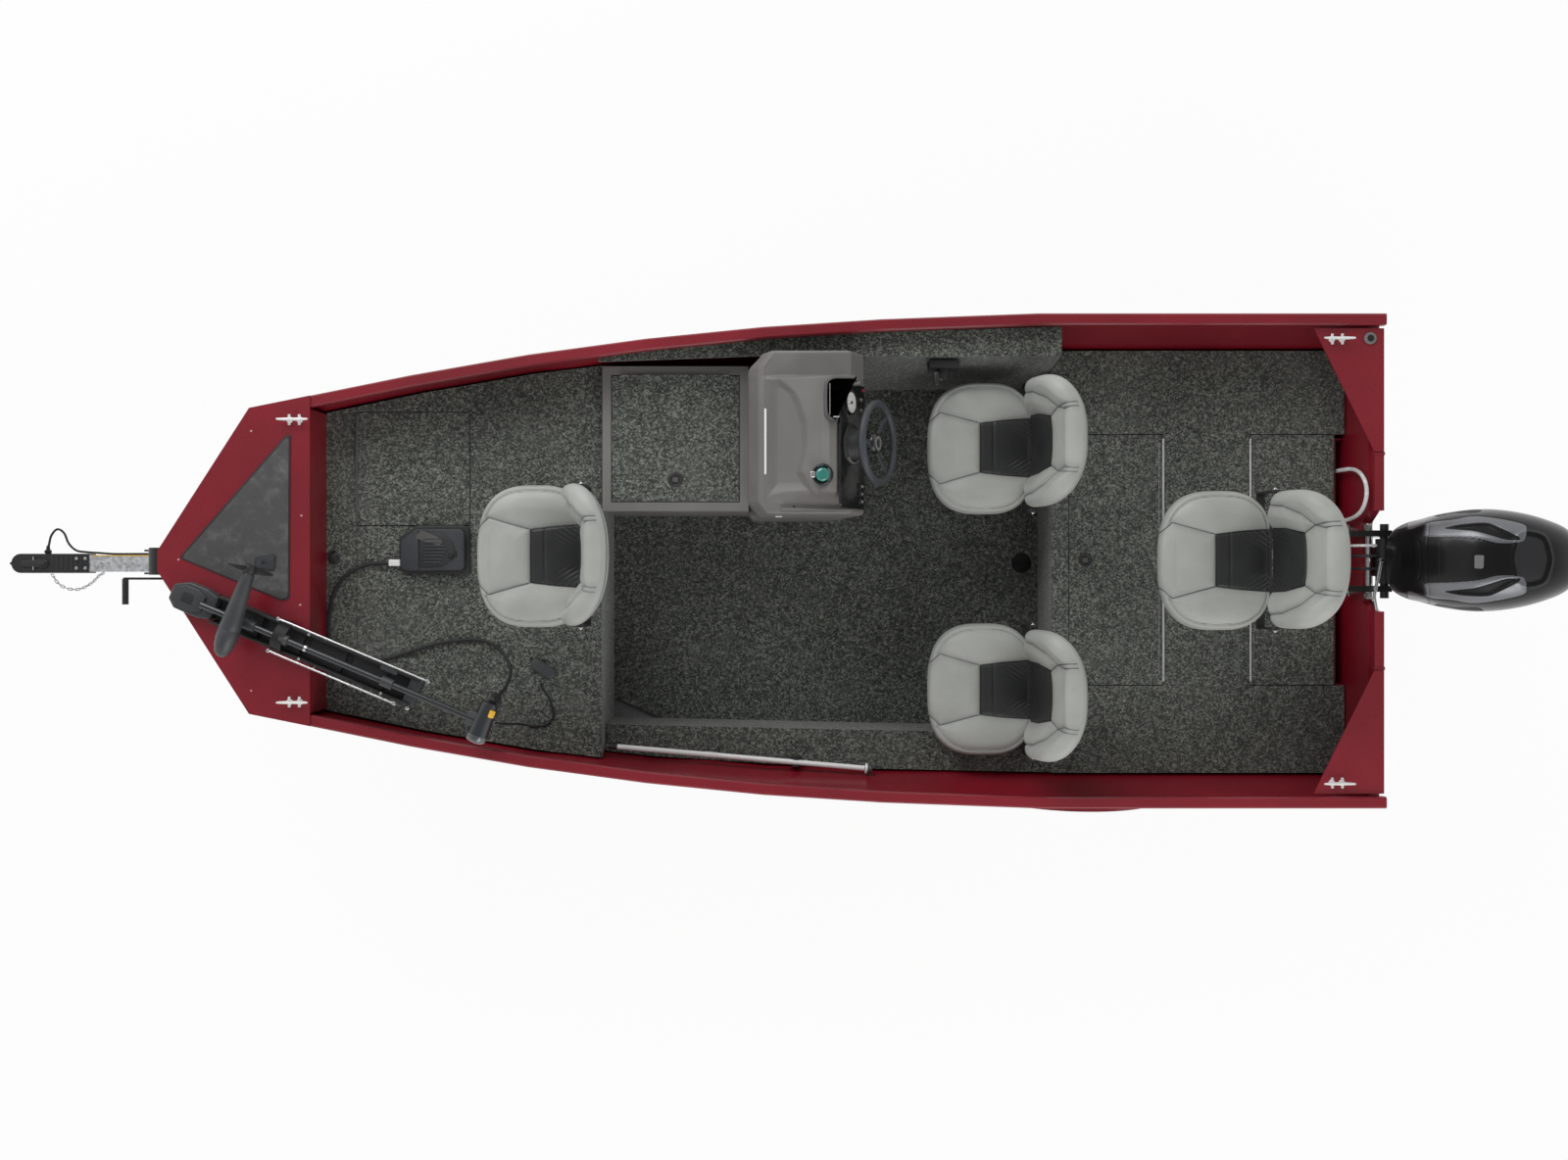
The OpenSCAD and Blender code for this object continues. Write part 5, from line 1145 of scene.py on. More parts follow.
# compass: black cup sunk in the platform, with a clear dome over its card
cx, cy, cz = 0.4187, 0.326, 1.488
cup = [(0.0405, -0.010), (0.0415, 0.003), (0.039, 0.0062), (0.0355, 0.0055), (0.032, 0.0),
       (0.002, -0.002)]
dome = [(0.0275, 0.0), (0.0275, 0.003), (0.0255, 0.0085), (0.0205, 0.0122), (0.012, 0.0142),
        (0.002, 0.0148)]
addPieces("compass", root, ["dashBlack", "compassDome", "bright"],
          [[spunPart(cup, (cx, cy, cz))], [spunPart(dome, (cx, cy, cz))],
           [boxPart((cx - 0.046, cy - 0.012, cz + 0.0), (cx - 0.028, cy + 0.012, cz + 0.007),
                    0.003)]])

# trim: grab rail and small plates of the console
railPath = smoothPath([(0.262, 0.199, 1.366), (0.27, 0.199, 1.379), (0.30, 0.199, 1.381),
                       (0.40, 0.1985, 1.383), (0.50, 0.1975, 1.383), (0.528, 0.197, 1.379),
                       (0.536, 0.197, 1.366)], 6)
plate = slabPart(boxOutline(-0.0055, 0.335, 0.0055, 0.592, 0.005), 0.0, 0.0014, 0.0005)
addPieces("consoleTrim", root, ["moulding", "white", "blackPlastic"],
          [[tubePart(railPath, 0.0045, 14)],
           [laid(plate, (0.199, 0, consoleHeight(np.array([0.199]), np.array([0.46]))[0]
                         + 0.0006), (0.9, 0, 0.36), (-0.36, 0, 0.9)),
            boxPart((0.238, 0.1745, 1.235), (0.264, 0.181, 1.246), 0.0015)],
           [discPart((0.311, 0.2105, 1.3715), 0.004, 0.0024)]], sharp=40)
print("console done")


# bow motor, stowed on its mount; u runs along the mount, v across it to starboard

tm = {"start": (-2.122, -0.126, 1.2663), "end": (-0.885, -0.645), "pod": (0.277, 0.045, 0.136),
      "podTurn": 4.0}
tmLine = np.array(tm["end"]) - np.array(tm["start"][:2])
tmLength = float(np.linalg.norm(tmLine))
tmAngle = math.degrees(math.atan2(tmLine[1], tmLine[0]))


def onMount(part):
    return moved(turned(part, (0, 0, 1), tmAngle), *tm["start"])


# front block with its raised step, two rails, crossbars and feet
block = roundedOutline([(-0.020, -0.030), (0.012, -0.058), (0.11, -0.060), (0.165, -0.046),
                        (0.165, 0.046), (0.11, 0.060), (0.035, 0.060), (-0.020, 0.030)], 0.012, 5)
upper = roundedOutline([(-0.012, -0.022), (0.014, -0.045), (0.085, -0.046), (0.12, -0.03),
                        (0.12, 0.03), (0.085, 0.046), (0.03, 0.046), (-0.012, 0.02)], 0.008, 4)
rails = [boxPart((0.165, side * 0.052 - 0.0055, 0.0), (1.02, side * 0.052 + 0.0055, 0.058), 0.003)
         for side in (-1, 1)]
slots = [boxPart((u, -0.0465, 0.012), (u + 0.15, 0.0465, 0.022), 0.003)
         for u in (0.20, 0.38, 0.56, 0.74)]
feet = [boxPart((u, -0.056, 0.0), (u + 0.10, 0.056, 0.013), 0.003) for u in (0.05, 0.37)]
bolts = [discPart((u, v, 0.0578), 0.0062, 0.004, sides=6) for u in (0.26, 0.55, 0.9)
         for v in (-0.052, 0.052)]
clevis = [boxPart((0.985, -0.056, 0.006), (1.035, 0.056, 0.05), 0.004),
          boxPart((0.86, 0.036, 0.03), (0.93, 0.058, 0.0665), 0.004)]
mountGroups = [
    [slabPart(block, 0.0, 0.050, 0.006), slabPart(upper, 0.0505, 0.0596, 0.003)] + clevis,
    rails + slots + feet + [boxPart((0.165, -0.047, 0.002), (1.0, 0.047, 0.010), 0.002),
                            boxPart((0.030, -0.021, 0.0585), (0.078, 0.021, 0.0602), 0.0006,
                                    0.004)],
    bolts + [discPart((1.012, -0.070, 0.018), 0.0085, 0.018, (0, 0, 1), 0.5),
             spunPart([(0.0035, -0.062), (0.0035, 0.062)], (1.012, 0, 0.028), (0, 1, 0), 12)]]
addPieces("motorMount", root, ["motorGrey", "blackPlastic", "bright"],
          [[onMount(part) for part in group] for group in mountGroups], "bow_motor_mount",
          sharp=40)

# shaft, stay rods, head and pod
podCentre = np.array(tm["pod"])
podAxis = turned((np.array([[0.0, -1.0, 0.0]]), []), (0, 0, 1), tm["podTurn"])[0][0]
podProfile = [(0.010, -0.150), (0.021, -0.1495), (0.0235, -0.144), (0.0265, -0.110),
              (0.0320, -0.04), (0.0385, 0.045), (0.0405, 0.075), (0.0392, 0.079),
              (0.0392, 0.082), (0.0415, 0.086), (0.0410, 0.118), (0.0365, 0.150),
              (0.027, 0.176), (0.013, 0.190), (0.002, 0.1925)]
# the pod narrows forward, away from its propeller, which is on its inboard end
pod = moved(aimed(spunPart(podProfile, sides=56), podAxis), *podCentre)
shaftHeight = 0.078
shaft = spunPart([(0.0128, 0.12), (0.0128, tmLength - 0.03)], (0, 0, shaftHeight), (1, 0, 0), 28)
collars = [spunPart([(0.0128, u), (0.021, u + 0.003), (0.021, u + w), (0.0128, u + w + 0.003)],
                    (0, 0, shaftHeight), (1, 0, 0), 28)
           for u, w in ((0.30, 0.05), (0.455, 0.035), (0.885, 0.05))]
neck = spunPart([(0.0155, 0.0), (0.0165, 0.02), (0.0165, 0.045), (0.022, 0.06)],
                (podCentre[0], 0.0, shaftHeight), (0, 0, 1), 28)
headAt = np.array([tmLength - 0.030, 0.0, 0.060])
headShape = [(0.026, 0.083), (0.0335, 0.080), (0.0365, 0.070), (0.0395, 0.02), (0.0425, -0.045),
             (0.0435, -0.052)]
lensShape = [(0.0435, -0.0525), (0.0435, -0.066), (0.040, -0.078), (0.032, -0.0835),
             (0.002, -0.0845)]


# head: a spun profile laid across the mount
def headPart(shape):
    points, faces = spunPart(shape[::-1], sides=56)
    return moved((points[:, [0, 2, 1]], [face[::-1] for face in faces]), *headAt)


headBlock = boxPart((tmLength - 0.092, -0.031, 0.031), (tmLength - 0.032, 0.031, 0.089), 0.008)
button = moved(turned(boxPart((-0.012, -0.015, -0.004), (0.012, 0.015, 0.006), 0.003),
                      (0, 1, 0), 43), headAt[0] + 0.026, headAt[1] + 0.046, headAt[2] + 0.0277)
turns = np.linspace(0.05, math.pi - 0.05, 26)
strapArc = np.stack([0.452 + 0 * turns, 0.0647 * np.cos(turns), 0.012 + 0.084 * np.sin(turns)],
                    -1)


# webbing: a flat strip of given width carried over an arc across the mount
def strapPart(arc, width, thick):
    arc = np.asarray(arc, float)
    ahead = np.gradient(arc, axis=0)
    ahead /= np.linalg.norm(ahead, axis=1)[:, None]
    out = np.cross((1.0, 0, 0), ahead) * -1
    corners = [(-width / 2, 0), (width / 2, 0), (width / 2, thick), (-width / 2, thick)]
    rings = np.stack([arc + np.array([w, 0, 0]) + out * h for w, h in corners], 1)
    return outward(stackPart(rings))


rods = []
for side, u0, u1, height in ((1, 0.42, 1.055, 0.073), (-1, 0.43, 0.965, 0.068)):
    v = side * 0.066
    route = smoothPath([(u0, v * 0.92, height - 0.006), (u0 + 0.03, v, height),
                        (0.5 * (u0 + u1), v, height), (u1 - 0.02, v, height),
                        (u1, v * 0.96, height - 0.004)], 8)
    rods.append(tubePart(route, 0.0042, 14))
    rods += [discPart((u, v, height - 0.004), 0.0075, 0.010, sides=18) for u in (u0, u1)]
    rods += [tubePart([(u, v, height), (u, v * 0.78, height - 0.012)], 0.0022, 10)
             for u in (0.62, 0.86)]
groups = [[shaft, neck] + [headPart(headShape)], [headBlock] + collars + [pod],
          rods + [spunPart([(0.0136, 0.56), (0.0136, 0.57)], (0, 0, shaftHeight), (1, 0, 0), 24)],
          [headPart(lensShape)], [button], [strapPart(strapArc, 0.046, 0.0022)]]
groups = [[onMount(part) for part in group] for group in groups]
addPieces("bowMotorBody", root, ["shaftGrey", "motorGrey", "bright", "smoked", "yellow",
                                 "cordBlack"], groups, "bow_motor", sharp=40)

bladeParts = propellerParts((0, 0, 0), (0, 0, 1), 0.0235, 0.098, 0.042, 0.032, 2, 0.16, 0.35,
                            0.005)
bladeParts = [onMount(moved(aimed(turned(part, (0, 0, 1), 40), -podAxis),
                            *(podCentre - podAxis * 0.151))) for part in bladeParts]
addPieces("bowBlades", "small_propeller", ["blackPlastic"], [bladeParts], "bow_propeller",
          sharp=40)
print("bow motor done")


# cords: the routes repeat those of the part's source, in metres

cableRoute = np.array([
    [-1350, -7, 1084], [-1400, -8, 1079], [-1450, -16, 1077.5], [-1530, -56, 1077.5],
    [-1580, -130, 1077.5], [-1598, -220, 1077.5], [-1598, -310, 1077.5], [-1570, -385, 1077.5],
    [-1500, -415, 1077.5], [-1410, -411, 1077.5], [-1300, -383, 1077.5], [-1170, -342, 1077.5],
    [-1040, -322, 1077.5], [-950, -330, 1078], [-880, -380, 1086], [-842, -448, 1130],
    [-846, -510, 1220], [-862, -536, 1300], [-874, -547, 1326]]) / 1000
ropeRoute = np.array([
    [-864, -640, 1310], [-840, -650, 1250], [-815, -660, 1150], [-788, -672, 1085],
    [-750, -678, 1075], [-706, -672, 1075], [-676, -632, 1075], [-694, -566, 1075],
    [-722, -522, 1075], [-728, -500, 1080]]) / 1000
leadRoute = np.array([
    [-2600, 43.5, 440], [-2700, 43.5, 440], [-2800, 43.5, 438], [-2870, 48, 437],
    [-2930, 52, 436], [-2980, 60, 430], [-3020, 92, 420], [-3046, 140, 412], [-3078, 158, 410],
    [-3102, 130, 416], [-3106, 90, 428], [-3106, 64, 436]]) / 1000
chainRoute = np.array([
    [-2850, -44.5, 436], [-2880, -56, 420], [-2930, -92, 396], [-2990, -118, 384],
    [-3040, -116, 392], [-3072, -92, 412], [-3084, -62, 430], [-3086, -50.5, 440]]) / 1000


# a cord as a tube along its route
def addCord(name, route, radius, count, material, replaced=(), extra=(), **facts):
    path = smoothPath(route, count)
    piece = addObject(name, meshFrom(name, tubePart(path, radius, 14)), root, material,
                      *replaced)
    return piece


addCord("pedalCable", cableRoute, 0.007, 5, "cordSleeve", ["pedal_cable"], far_end="object",
        stiffness="stiff", lay="loose")
boot = spunPart([(0.0085, -0.004), (0.0125, 0.0), (0.0125, 0.012), (0.0165, 0.03),
                 (0.022, 0.062), (0.024, 0.066)], (-0.8745, -0.5475, 1.3262), (0, 0, -1), 24)
addPieces("cableBoot", root, ["blackPlastic"], [[boot]], sharp=50)
# charging receptacle at the front of the deck, with its cap
addPieces("receptacle", root, ["blackPlastic", "dashBlack"],
          [[spunPart([(0.024, -0.001), (0.024, 0.004), (0.019, 0.007), (0.017, 0.014),
                      (0.012, 0.016), (0.001, 0.016)], (-1.58, 0.013, 1.0705), (0, 0, 1), 32)],
           [boxPart((-1.586, 0.026, 1.0705), (-1.574, 0.046, 1.0765), 0.002)]], sharp=40)

# pull handle: a rounded grip with finger grooves, tied to the rope by a knot
grip = slabPart(boxOutline(-0.0255, -0.055, 0.0255, 0.055, 0.022, 7), 0.0, 0.0235, 0.009, 0.006,
                6)
points, faces = grip
across = points[:, 0]
groove = 0.5 + 0.5 * np.cos(points[:, 1] * 2 * np.pi / 0.026)
points[:, 0] = across - 0.0035 * np.sign(across) * (np.abs(across) > 0.01) * groove
grip = moved(turned((points, faces), (0, 0, 1), 56), -0.717, -0.442, 1.0706)
handle = addPieces("pullHandle", root, ["motorGrey"], [[grip]], sharp=50)
addCord("pullRope", ropeRoute, 0.004, 6, "cordBlack", ["pull_rope"], [handle], far_end="fitting",
        stiffness="limp", lay="loose")

plug = addPieces("trailerPlug", root, ["cordBlack", "bright"],
                 [[boxPart((-3.1175, 0.0447, 0.4245), (-3.0945, 0.0628, 0.4478), 0.004),
                   spunPart([(0.009, 0.0), (0.0075, 0.012), (0.006, 0.02)],
                            (-3.106, 0.0625, 0.436), (0, 1, 0), 16)],
                  [discPart((-3.1175, 0.0537, z), 0.0022, 0.005, (-1, 0, 0), sides=12)
                   for z in (0.4295, 0.4345, 0.4395, 0.4445)]], sharp=40)
addCord("trailerLead", leadRoute, 0.005, 6, "cordBlack", ["trailer_lead"], [plug],
        far_end="connector", stiffness="medium", lay="hanging")


# chain: oval links set along the route, every other one turned a quarter
def chainParts(route, pitch, wire, half):
    path = smoothPath(route, 24)
    run = np.concatenate([[0], np.cumsum(np.linalg.norm(np.diff(path, axis=0), axis=1))])
    count = int(run[-1] / pitch)
    spots = (np.arange(count) + 0.5) * run[-1] / count
    centre = np.stack([np.interp(spots, run, path[:, k]) for k in range(3)], -1)
    ahead = np.stack([np.interp(spots + 0.004, run, path[:, k]) for k in range(3)], -1) - centre
    t = np.linspace(0, 2 * np.pi, 20, endpoint=False)
    # stadium: a circle drawn out along the chain
    stretch = pitch * 0.5 + wire * 0.9 - half
    flat = np.stack([half * np.cos(t) + stretch * np.sign(np.round(np.cos(t), 6)),
                     half * np.sin(t), 0 * t], -1)
    links = []
    for k in range(count):
        link = tubePart(flat, wire, 8, True)
        link = turned(link, (1, 0, 0), 90 * (k % 2) + 12)
        links.append(laid(link, centre[k], ahead[k]))
    return links


chain = addPieces("safetyChain", root, ["galvanised"],
                  [chainParts(chainRoute, 0.0160, 0.0023, 0.0051)], "safety_chain")

# foot pedal: base pan, tilted tread with a raised D, heel rest, lever and connector
pedal = {"x": -1.308, "y": -0.052, "z": 1.0704, "length": 0.290, "width": 0.200}
pan = roundedOutline([(0.0, 0.022), (0.030, 0.0), (0.272, 0.0), (0.290, 0.018), (0.290, 0.182),
                      (0.272, 0.2), (0.07, 0.2), (0.0, 0.150)], 0.014, 5)
treadOutline = roundedOutline([(0.014, 0.026), (0.040, 0.012), (0.262, 0.016), (0.276, 0.030),
                               (0.276, 0.170), (0.262, 0.184), (0.075, 0.184), (0.014, 0.140)],
                              0.012, 5)
heelOutline = roundedOutline([(0.012, 0.026), (0.034, 0.014), (0.088, 0.014), (0.088, 0.180),
                              (0.070, 0.180), (0.012, 0.138)], 0.010, 4)
dRing = np.concatenate([[(0.094, 0.030)], [(0.094, 0.168)],
                        [(0.150 + 0.088 * math.sin(t), 0.099 + 0.069 * math.cos(t))
                         for t in np.linspace(0.0, math.pi, 22)]])
ribs = [boxPart((0.108, v, 0.0), (0.208 - 0.5 * abs(v - 0.098), v + 0.006, 0.0035), 0.001)
        for v in np.arange(0.045, 0.15, 0.0135)]


def onPedal(part, tilted=True):
    if tilted:
        part = moved(turned(part, (0, 1, 0), -5.0, (0, 0, 0)), 0, 0, 0.021)
    return moved(part, pedal["x"], pedal["y"], pedal["z"])


lever = slabPart(roundedOutline([(0.078, 0.150), (0.100, 0.176), (0.164, 0.150), (0.190, 0.128),
                                 (0.172, 0.122), (0.120, 0.136)], 0.006, 4), 0.006, 0.0155, 0.004)
groups = [[onPedal(slabPart(pan, 0.0, 0.020, 0.006), False), onPedal(outward(slabPart(dRing[::-1],
           0.0085, 0.0135, 0.003)))],
          [onPedal(slabPart(treadOutline, -0.004, 0.009, 0.004)),
           onPedal(slabPart(heelOutline, 0.008, 0.015, 0.004))]
          + [onPedal(moved(rib, 0, 0, 0.0128)) for rib in ribs],
          [onPedal(lever)], [onPedal(boxPart((-0.042, 0.033, 0.003), (0.006, 0.060, 0.026), 0.004),
                                     False)],
          [onPedal(discPart((0.222, 0.073, 0.0105), 0.012, 0.005)),
           onPedal(boxPart((0.226, 0.070, 0.008), (0.246, 0.094, 0.0125), 0.002))]
          + [onPedal(discPart((u, -0.002, 0.0035), 0.005, 0.006), False) for u in (0.16, 0.215)]]
addPieces("footPedal", root, ["blackPlastic", "pedalGrey", "mouldingDark", "white", "cordBlack"],
          groups, "foot_pedal", sharp=40)

# bow pad with a rounded black border, and the latch let into it
low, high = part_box("bow_pad")
padTop = high[2]
padOutline = roundedOutline([(-2.130, 0.012), (-1.722, -0.158), (-1.692, -0.150), (-1.688, 0.500),
                             (-1.704, 0.500)], (0.010, 0.016, 0.014, 0.007, 0.006), 6)
inner = roundedOutline([(-2.118, 0.013), (-1.724, -0.151), (-1.698, -0.144), (-1.694, 0.483),
                        (-1.705, 0.486)], (0.008, 0.014, 0.012, 0.006, 0.005), 6)
latchOutline = roundedOutline([(-1.830, -0.028), (-1.748, -0.044), (-1.742, 0.028),
                               (-1.826, 0.012)], 0.012, 6)
plateOutline = roundedOutline([(-1.824, -0.022), (-1.754, -0.036), (-1.748, 0.022),
                               (-1.820, 0.007)], 0.008, 6)
addPieces("bowPad", root, ["blackPlastic", "pad", "pedalGrey"],
          [[slabPart(padOutline, low[2], padTop - 0.0008, 0.0015),
            slabPart(latchOutline, padTop - 0.002, padTop + 0.0035, 0.0015),
            boxPart((-1.801, -0.013, padTop + 0.003), (-1.789, 0.006, padTop + 0.006), 0.0008),
            boxPart((-1.796, -0.010, padTop + 0.003), (-1.778, -0.005, padTop + 0.006), 0.0008)],
           [slabPart(inner, padTop - 0.001, padTop + 0.0004, 0.0004)],
           [slabPart(plateOutline, padTop + 0.002, padTop + 0.0044, 0.001)]], "bow_pad", sharp=40)

# screws of the bow plate, and cleats: two horns on two feet
capTop = low[2] - 0.0003
screwSpots = [(-2.1335, 0.005), (-1.650, -0.175), (-1.645, 0.180), (-1.845, -0.516),
              (-1.845, 0.516)]
screws = [discPart((x, y, capTop - 0.001), 0.0042, 0.0024, edge=0.6, sides=14)
          for x, y in screwSpots]
addPieces("bowScrews", root, ["rivet"], [screws])


def cleatPart(x, y, z):
    t = np.linspace(-1, 1, 33)
    horn = np.stack([0.062 * t, 0 * t, 0.026 + 0.006 * np.abs(t) ** 2.5], -1)
    thick = 0.0062 * np.sqrt(1 - 0.72 * np.abs(t) ** 3)
    feet = [spunPart([(0.0135, 0.0), (0.012, 0.004), (0.0072, 0.012), (0.0068, 0.027)],
                     (u, 0, 0), (0, 0, 1), 20) for u in (-0.02, 0.02)]
    bars = [tubePart([(u, -0.021, 0.004), (u, 0.021, 0.004)], 0.0055, 12) for u in (-0.02, 0.02)]
    return [moved(part, x, y, z) for part in [tubePart(horn, thick, 14)] + feet + bars]


cleatSpots = [(-1.672, 0.5603, 1.2667), (2.480, 0.886, 1.2384)]
addPieces("whiteCleats", root, ["white"],
          [bothSides(*[part for spot in cleatSpots for part in cleatPart(*spot)])], "cleats",
          sharp=50)
print("deck pieces done")


# hinge strips of the deck lids, latches, light pole and throttle

# one hinge: end knuckles and a leaf on the deck, the long middle knuckle and a leaf on the lid
def hingeStrip(name, lidBody, centre, length, side, material):
    x, y, z = centre
    radius = 0.0049
    half = length / 2
    middle = [(radius, -half + 0.0255), (radius, half - 0.0255)]
    ends = [[(radius, low), (radius, low + 0.0235)] for low in (-half, half - 0.0235)]
    lidSide = [spunPart(middle, centre, (0, 1, 0), 20),
               boxPart((min(x, x + side * 0.017), y - half + 0.027, z - 0.0054),
                       (max(x, x + side * 0.017), y + half - 0.027, z - 0.0040), 0.0004)]
    deckSide = [spunPart(end, centre, (0, 1, 0), 20) for end in ends]
    addPieces(name + "Leaf", lidBody, [material], [lidSide], sharp=40)
    addPieces(name + "Knuckles", root, [material], [deckSide], sharp=40)


hingeStrip("foreHinge", "stern_hatch_fore", (1.861, 0.008, 0.9755), 1.016, -1, "satinStrip")
hingeStrip("aftHinge", "stern_hatch_aft", (2.226, 0.008, 0.9755), 1.016, 1, "satinStrip")
hingeStrip("bowHinge", "bow_hatch", (-1.486, 0.382, 1.0755), 0.44, 1, "mouldingDark")


# slam latch: a ring round a cup, with a finger pull hinged across it
def latchParts(x, y, z, radius, turn=0.0):
    ring = [(radius, -0.002), (radius + 0.0015, 0.0008), (radius - 0.001, 0.0028),
            (radius - 0.006, 0.0026), (radius - 0.0075, 0.0008), (radius - 0.008, -0.004),
            (0.002, -0.005)]
    pull = slabPart(roundedOutline([(-0.013, -0.008), (0.010, -0.011), (0.010, 0.011),
                                    (-0.013, 0.008)], 0.004, 4), -0.003, 0.0018, 0.001)
    return ([moved(spunPart(ring[::-1], sides=48), x, y, z)],
            [moved(turned(pull, (0, 0, 1), turn), x, y, z)])


for name, body, spot, radius in (
        ("lockerLatch", "locker_hatch", (-0.171, 0.334, 1.1125), 0.0285),
        ("foreLatch", "stern_hatch_fore", (1.536, 0.008, 0.9705), 0.0285)):
    cup, pull = latchParts(*spot, radius)
    addPieces(name, body, ["blackPlastic", "mouldingDark"], [cup, pull], sharp=50)

# light pole: white tube with its joint collar and the clear lens on its end
low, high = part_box("light_pole")
poleStart = np.array([-0.459, high[1] - 0.0125, 1.030])
poleEnd = poleStart + (1.070, -0.096, -0.018)
poleAlong = (poleEnd - poleStart) / np.linalg.norm(poleEnd - poleStart)
poleLength = float(np.linalg.norm(poleEnd - poleStart))


def onPole(profile):
    return spunPart(profile, poleStart, poleAlong, 28)


clip = np.array([poleStart[0] + 0.780, poleStart[1] - 0.070, low[2]])
addPieces("lightPole", root, ["white", "smoked", "blackPlastic"],
          [[onPole([(0.0090, 0.0), (0.0112, 0.003), (0.0112, poleLength - 0.004)]),
            onPole([(0.0115, 0.40), (0.0125, 0.403), (0.0125, 0.455), (0.0115, 0.458)]),
            onPole([(0.0205, poleLength - 0.002), (0.0215, poleLength), (0.0215, poleLength
                    + 0.006), (0.018, poleLength + 0.008)])],
           [onPole([(0.0165, poleLength + 0.004), (0.0185, poleLength + 0.010), (0.0175,
                    poleLength + 0.022), (0.012, poleLength + 0.028), (0.002, poleLength
                    + 0.0295)])],
           [onPole([(0.0113, 0.001), (0.0122, 0.002), (0.0122, 0.038), (0.0113, 0.040)]),
            boxPart((clip[0] - 0.019, clip[1] - 0.021, clip[2]),
                    (clip[0] + 0.019, clip[1] + 0.021, clip[2] + 0.030), 0.004),
            boxPart((clip[0] - 0.012, clip[1] - 0.019, clip[2] + 0.028),
                    (clip[0] + 0.012, clip[1] - 0.013, clip[2] + 0.066), 0.002),
            boxPart((clip[0] - 0.012, clip[1] + 0.012, clip[2] + 0.028),
                    (clip[0] + 0.012, clip[1] + 0.018, clip[2] + 0.066), 0.002)]],
          "light_pole", sharp=40)

# throttle: side box with a round boss and a cranked lever with its grip
low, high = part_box("throttle_box")
middle = [(a + b) / 2 for a, b in zip(low, high)]
leverPath = smoothPath([(middle[0], low[1] + 0.012, middle[2]),
                        (middle[0], low[1] - 0.006, middle[2] + 0.002),
                        (middle[0] - 0.012, low[1] - 0.012, middle[2] + 0.035),
                        (middle[0] - 0.030, low[1] - 0.012, middle[2] + 0.075),
                        (middle[0] - 0.040, low[1] - 0.016, middle[2] + 0.100)], 6)
gripPath = smoothPath([(middle[0] - 0.040, low[1] + 0.008, middle[2] + 0.104),
                       (middle[0] - 0.041, low[1] - 0.016, middle[2] + 0.106),
                       (middle[0] - 0.040, low[1] - 0.050, middle[2] + 0.104)], 8)
gripRadius = 0.0135 * np.sqrt(np.clip(1 - (2 * np.linspace(0, 1, len(gripPath)) - 1) ** 6, 0.1, 1))
addPieces("throttleLever", root, ["bright", "blackPlastic"],
          [[tubePart(leverPath, 0.0055, 12)],
           [tubePart(gripPath, gripRadius, 18),
            discPart((middle[0], low[1] + 0.002, middle[2]), 0.022, 0.012, (0, -1, 0))]],
          sharp=50)

# splash well: a drain hose looped under the rail, and three lines to the motor's tilt axis
drainRoute = [(2.605, 0.385, 0.829), (2.605, 0.385, 0.90), (2.605, 0.384, 1.00),
              (2.604, 0.379, 1.09), (2.603, 0.358, 1.165), (2.603, 0.318, 1.215),
              (2.603, 0.270, 1.228), (2.603, 0.224, 1.205), (2.604, 0.192, 1.15),
              (2.605, 0.176, 1.07), (2.606, 0.170, 0.98), (2.606, 0.168, 0.90),
              (2.606, 0.168, 0.829)]
addCord("drainHose", drainRoute, 0.008, 6, "hoseWhite", far_end="object", stiffness="medium",
        lay="loose")
for name, y, material in (("fuelLine", 0.064, "hoseWhite"), ("batteryLine", 0.022, "cordBlack"),
                          ("controlLine", -0.030, "cordBlack")):
    route = [(2.597, y, 0.829), (2.597, y, 0.98), (2.597, y, 1.08), (2.597, y, 1.122),
             (2.6037, y, 1.147), (2.622, y, 1.1653), (2.646, y, 1.172), (2.673, y, 1.172)]
    addCord(name, route, 0.0055, 7, material, far_end="object", stiffness="medium", lay="loose")
valves = []
for y in (0.134, -0.126):
    valves += [spunPart([(0.011, -0.001), (0.011, 0.010), (0.007, 0.012), (0.007, 0.027),
                         (0.0095, 0.029), (0.0095, 0.036)], (2.626, y, 1.050), (-1, 0, 0), 6),
               boxPart((2.598, y - 0.018, 1.054), (2.605, y + 0.018, 1.067), 0.003)]
addPieces("wellValves", root, ["bright"], [valves], sharp=40)
# transom rail: a sleeve each side over its joint; starboard plate: the capped light socket
sleeves = [boxPart((2.631, y - 0.007, 1.196), (2.676, y + 0.007, 1.2335), 0.003)
           for y in (-0.43, 0.43)]
addPieces("railSleeves", root, ["red"], [sleeves], sharp=40)
addPieces("lightSocket", root, ["moulding", "cordBlack"],
          [[discPart((2.612, 0.889, 1.2384), 0.024, 0.007, (0, 0, 1))],
           [discPart((2.612, 0.889, 1.2454), 0.013, 0.003, (0, 0, 1))]], sharp=40)
print("stern fittings done")


# road wheels: tread blocks cut in the crown, bulged sidewalls, five-spoke pressed rims

wheel = {"x": 1.632, "y": 0.988, "z": 0.305, "tyre": 0.305, "width": 0.176, "rim": 0.170}


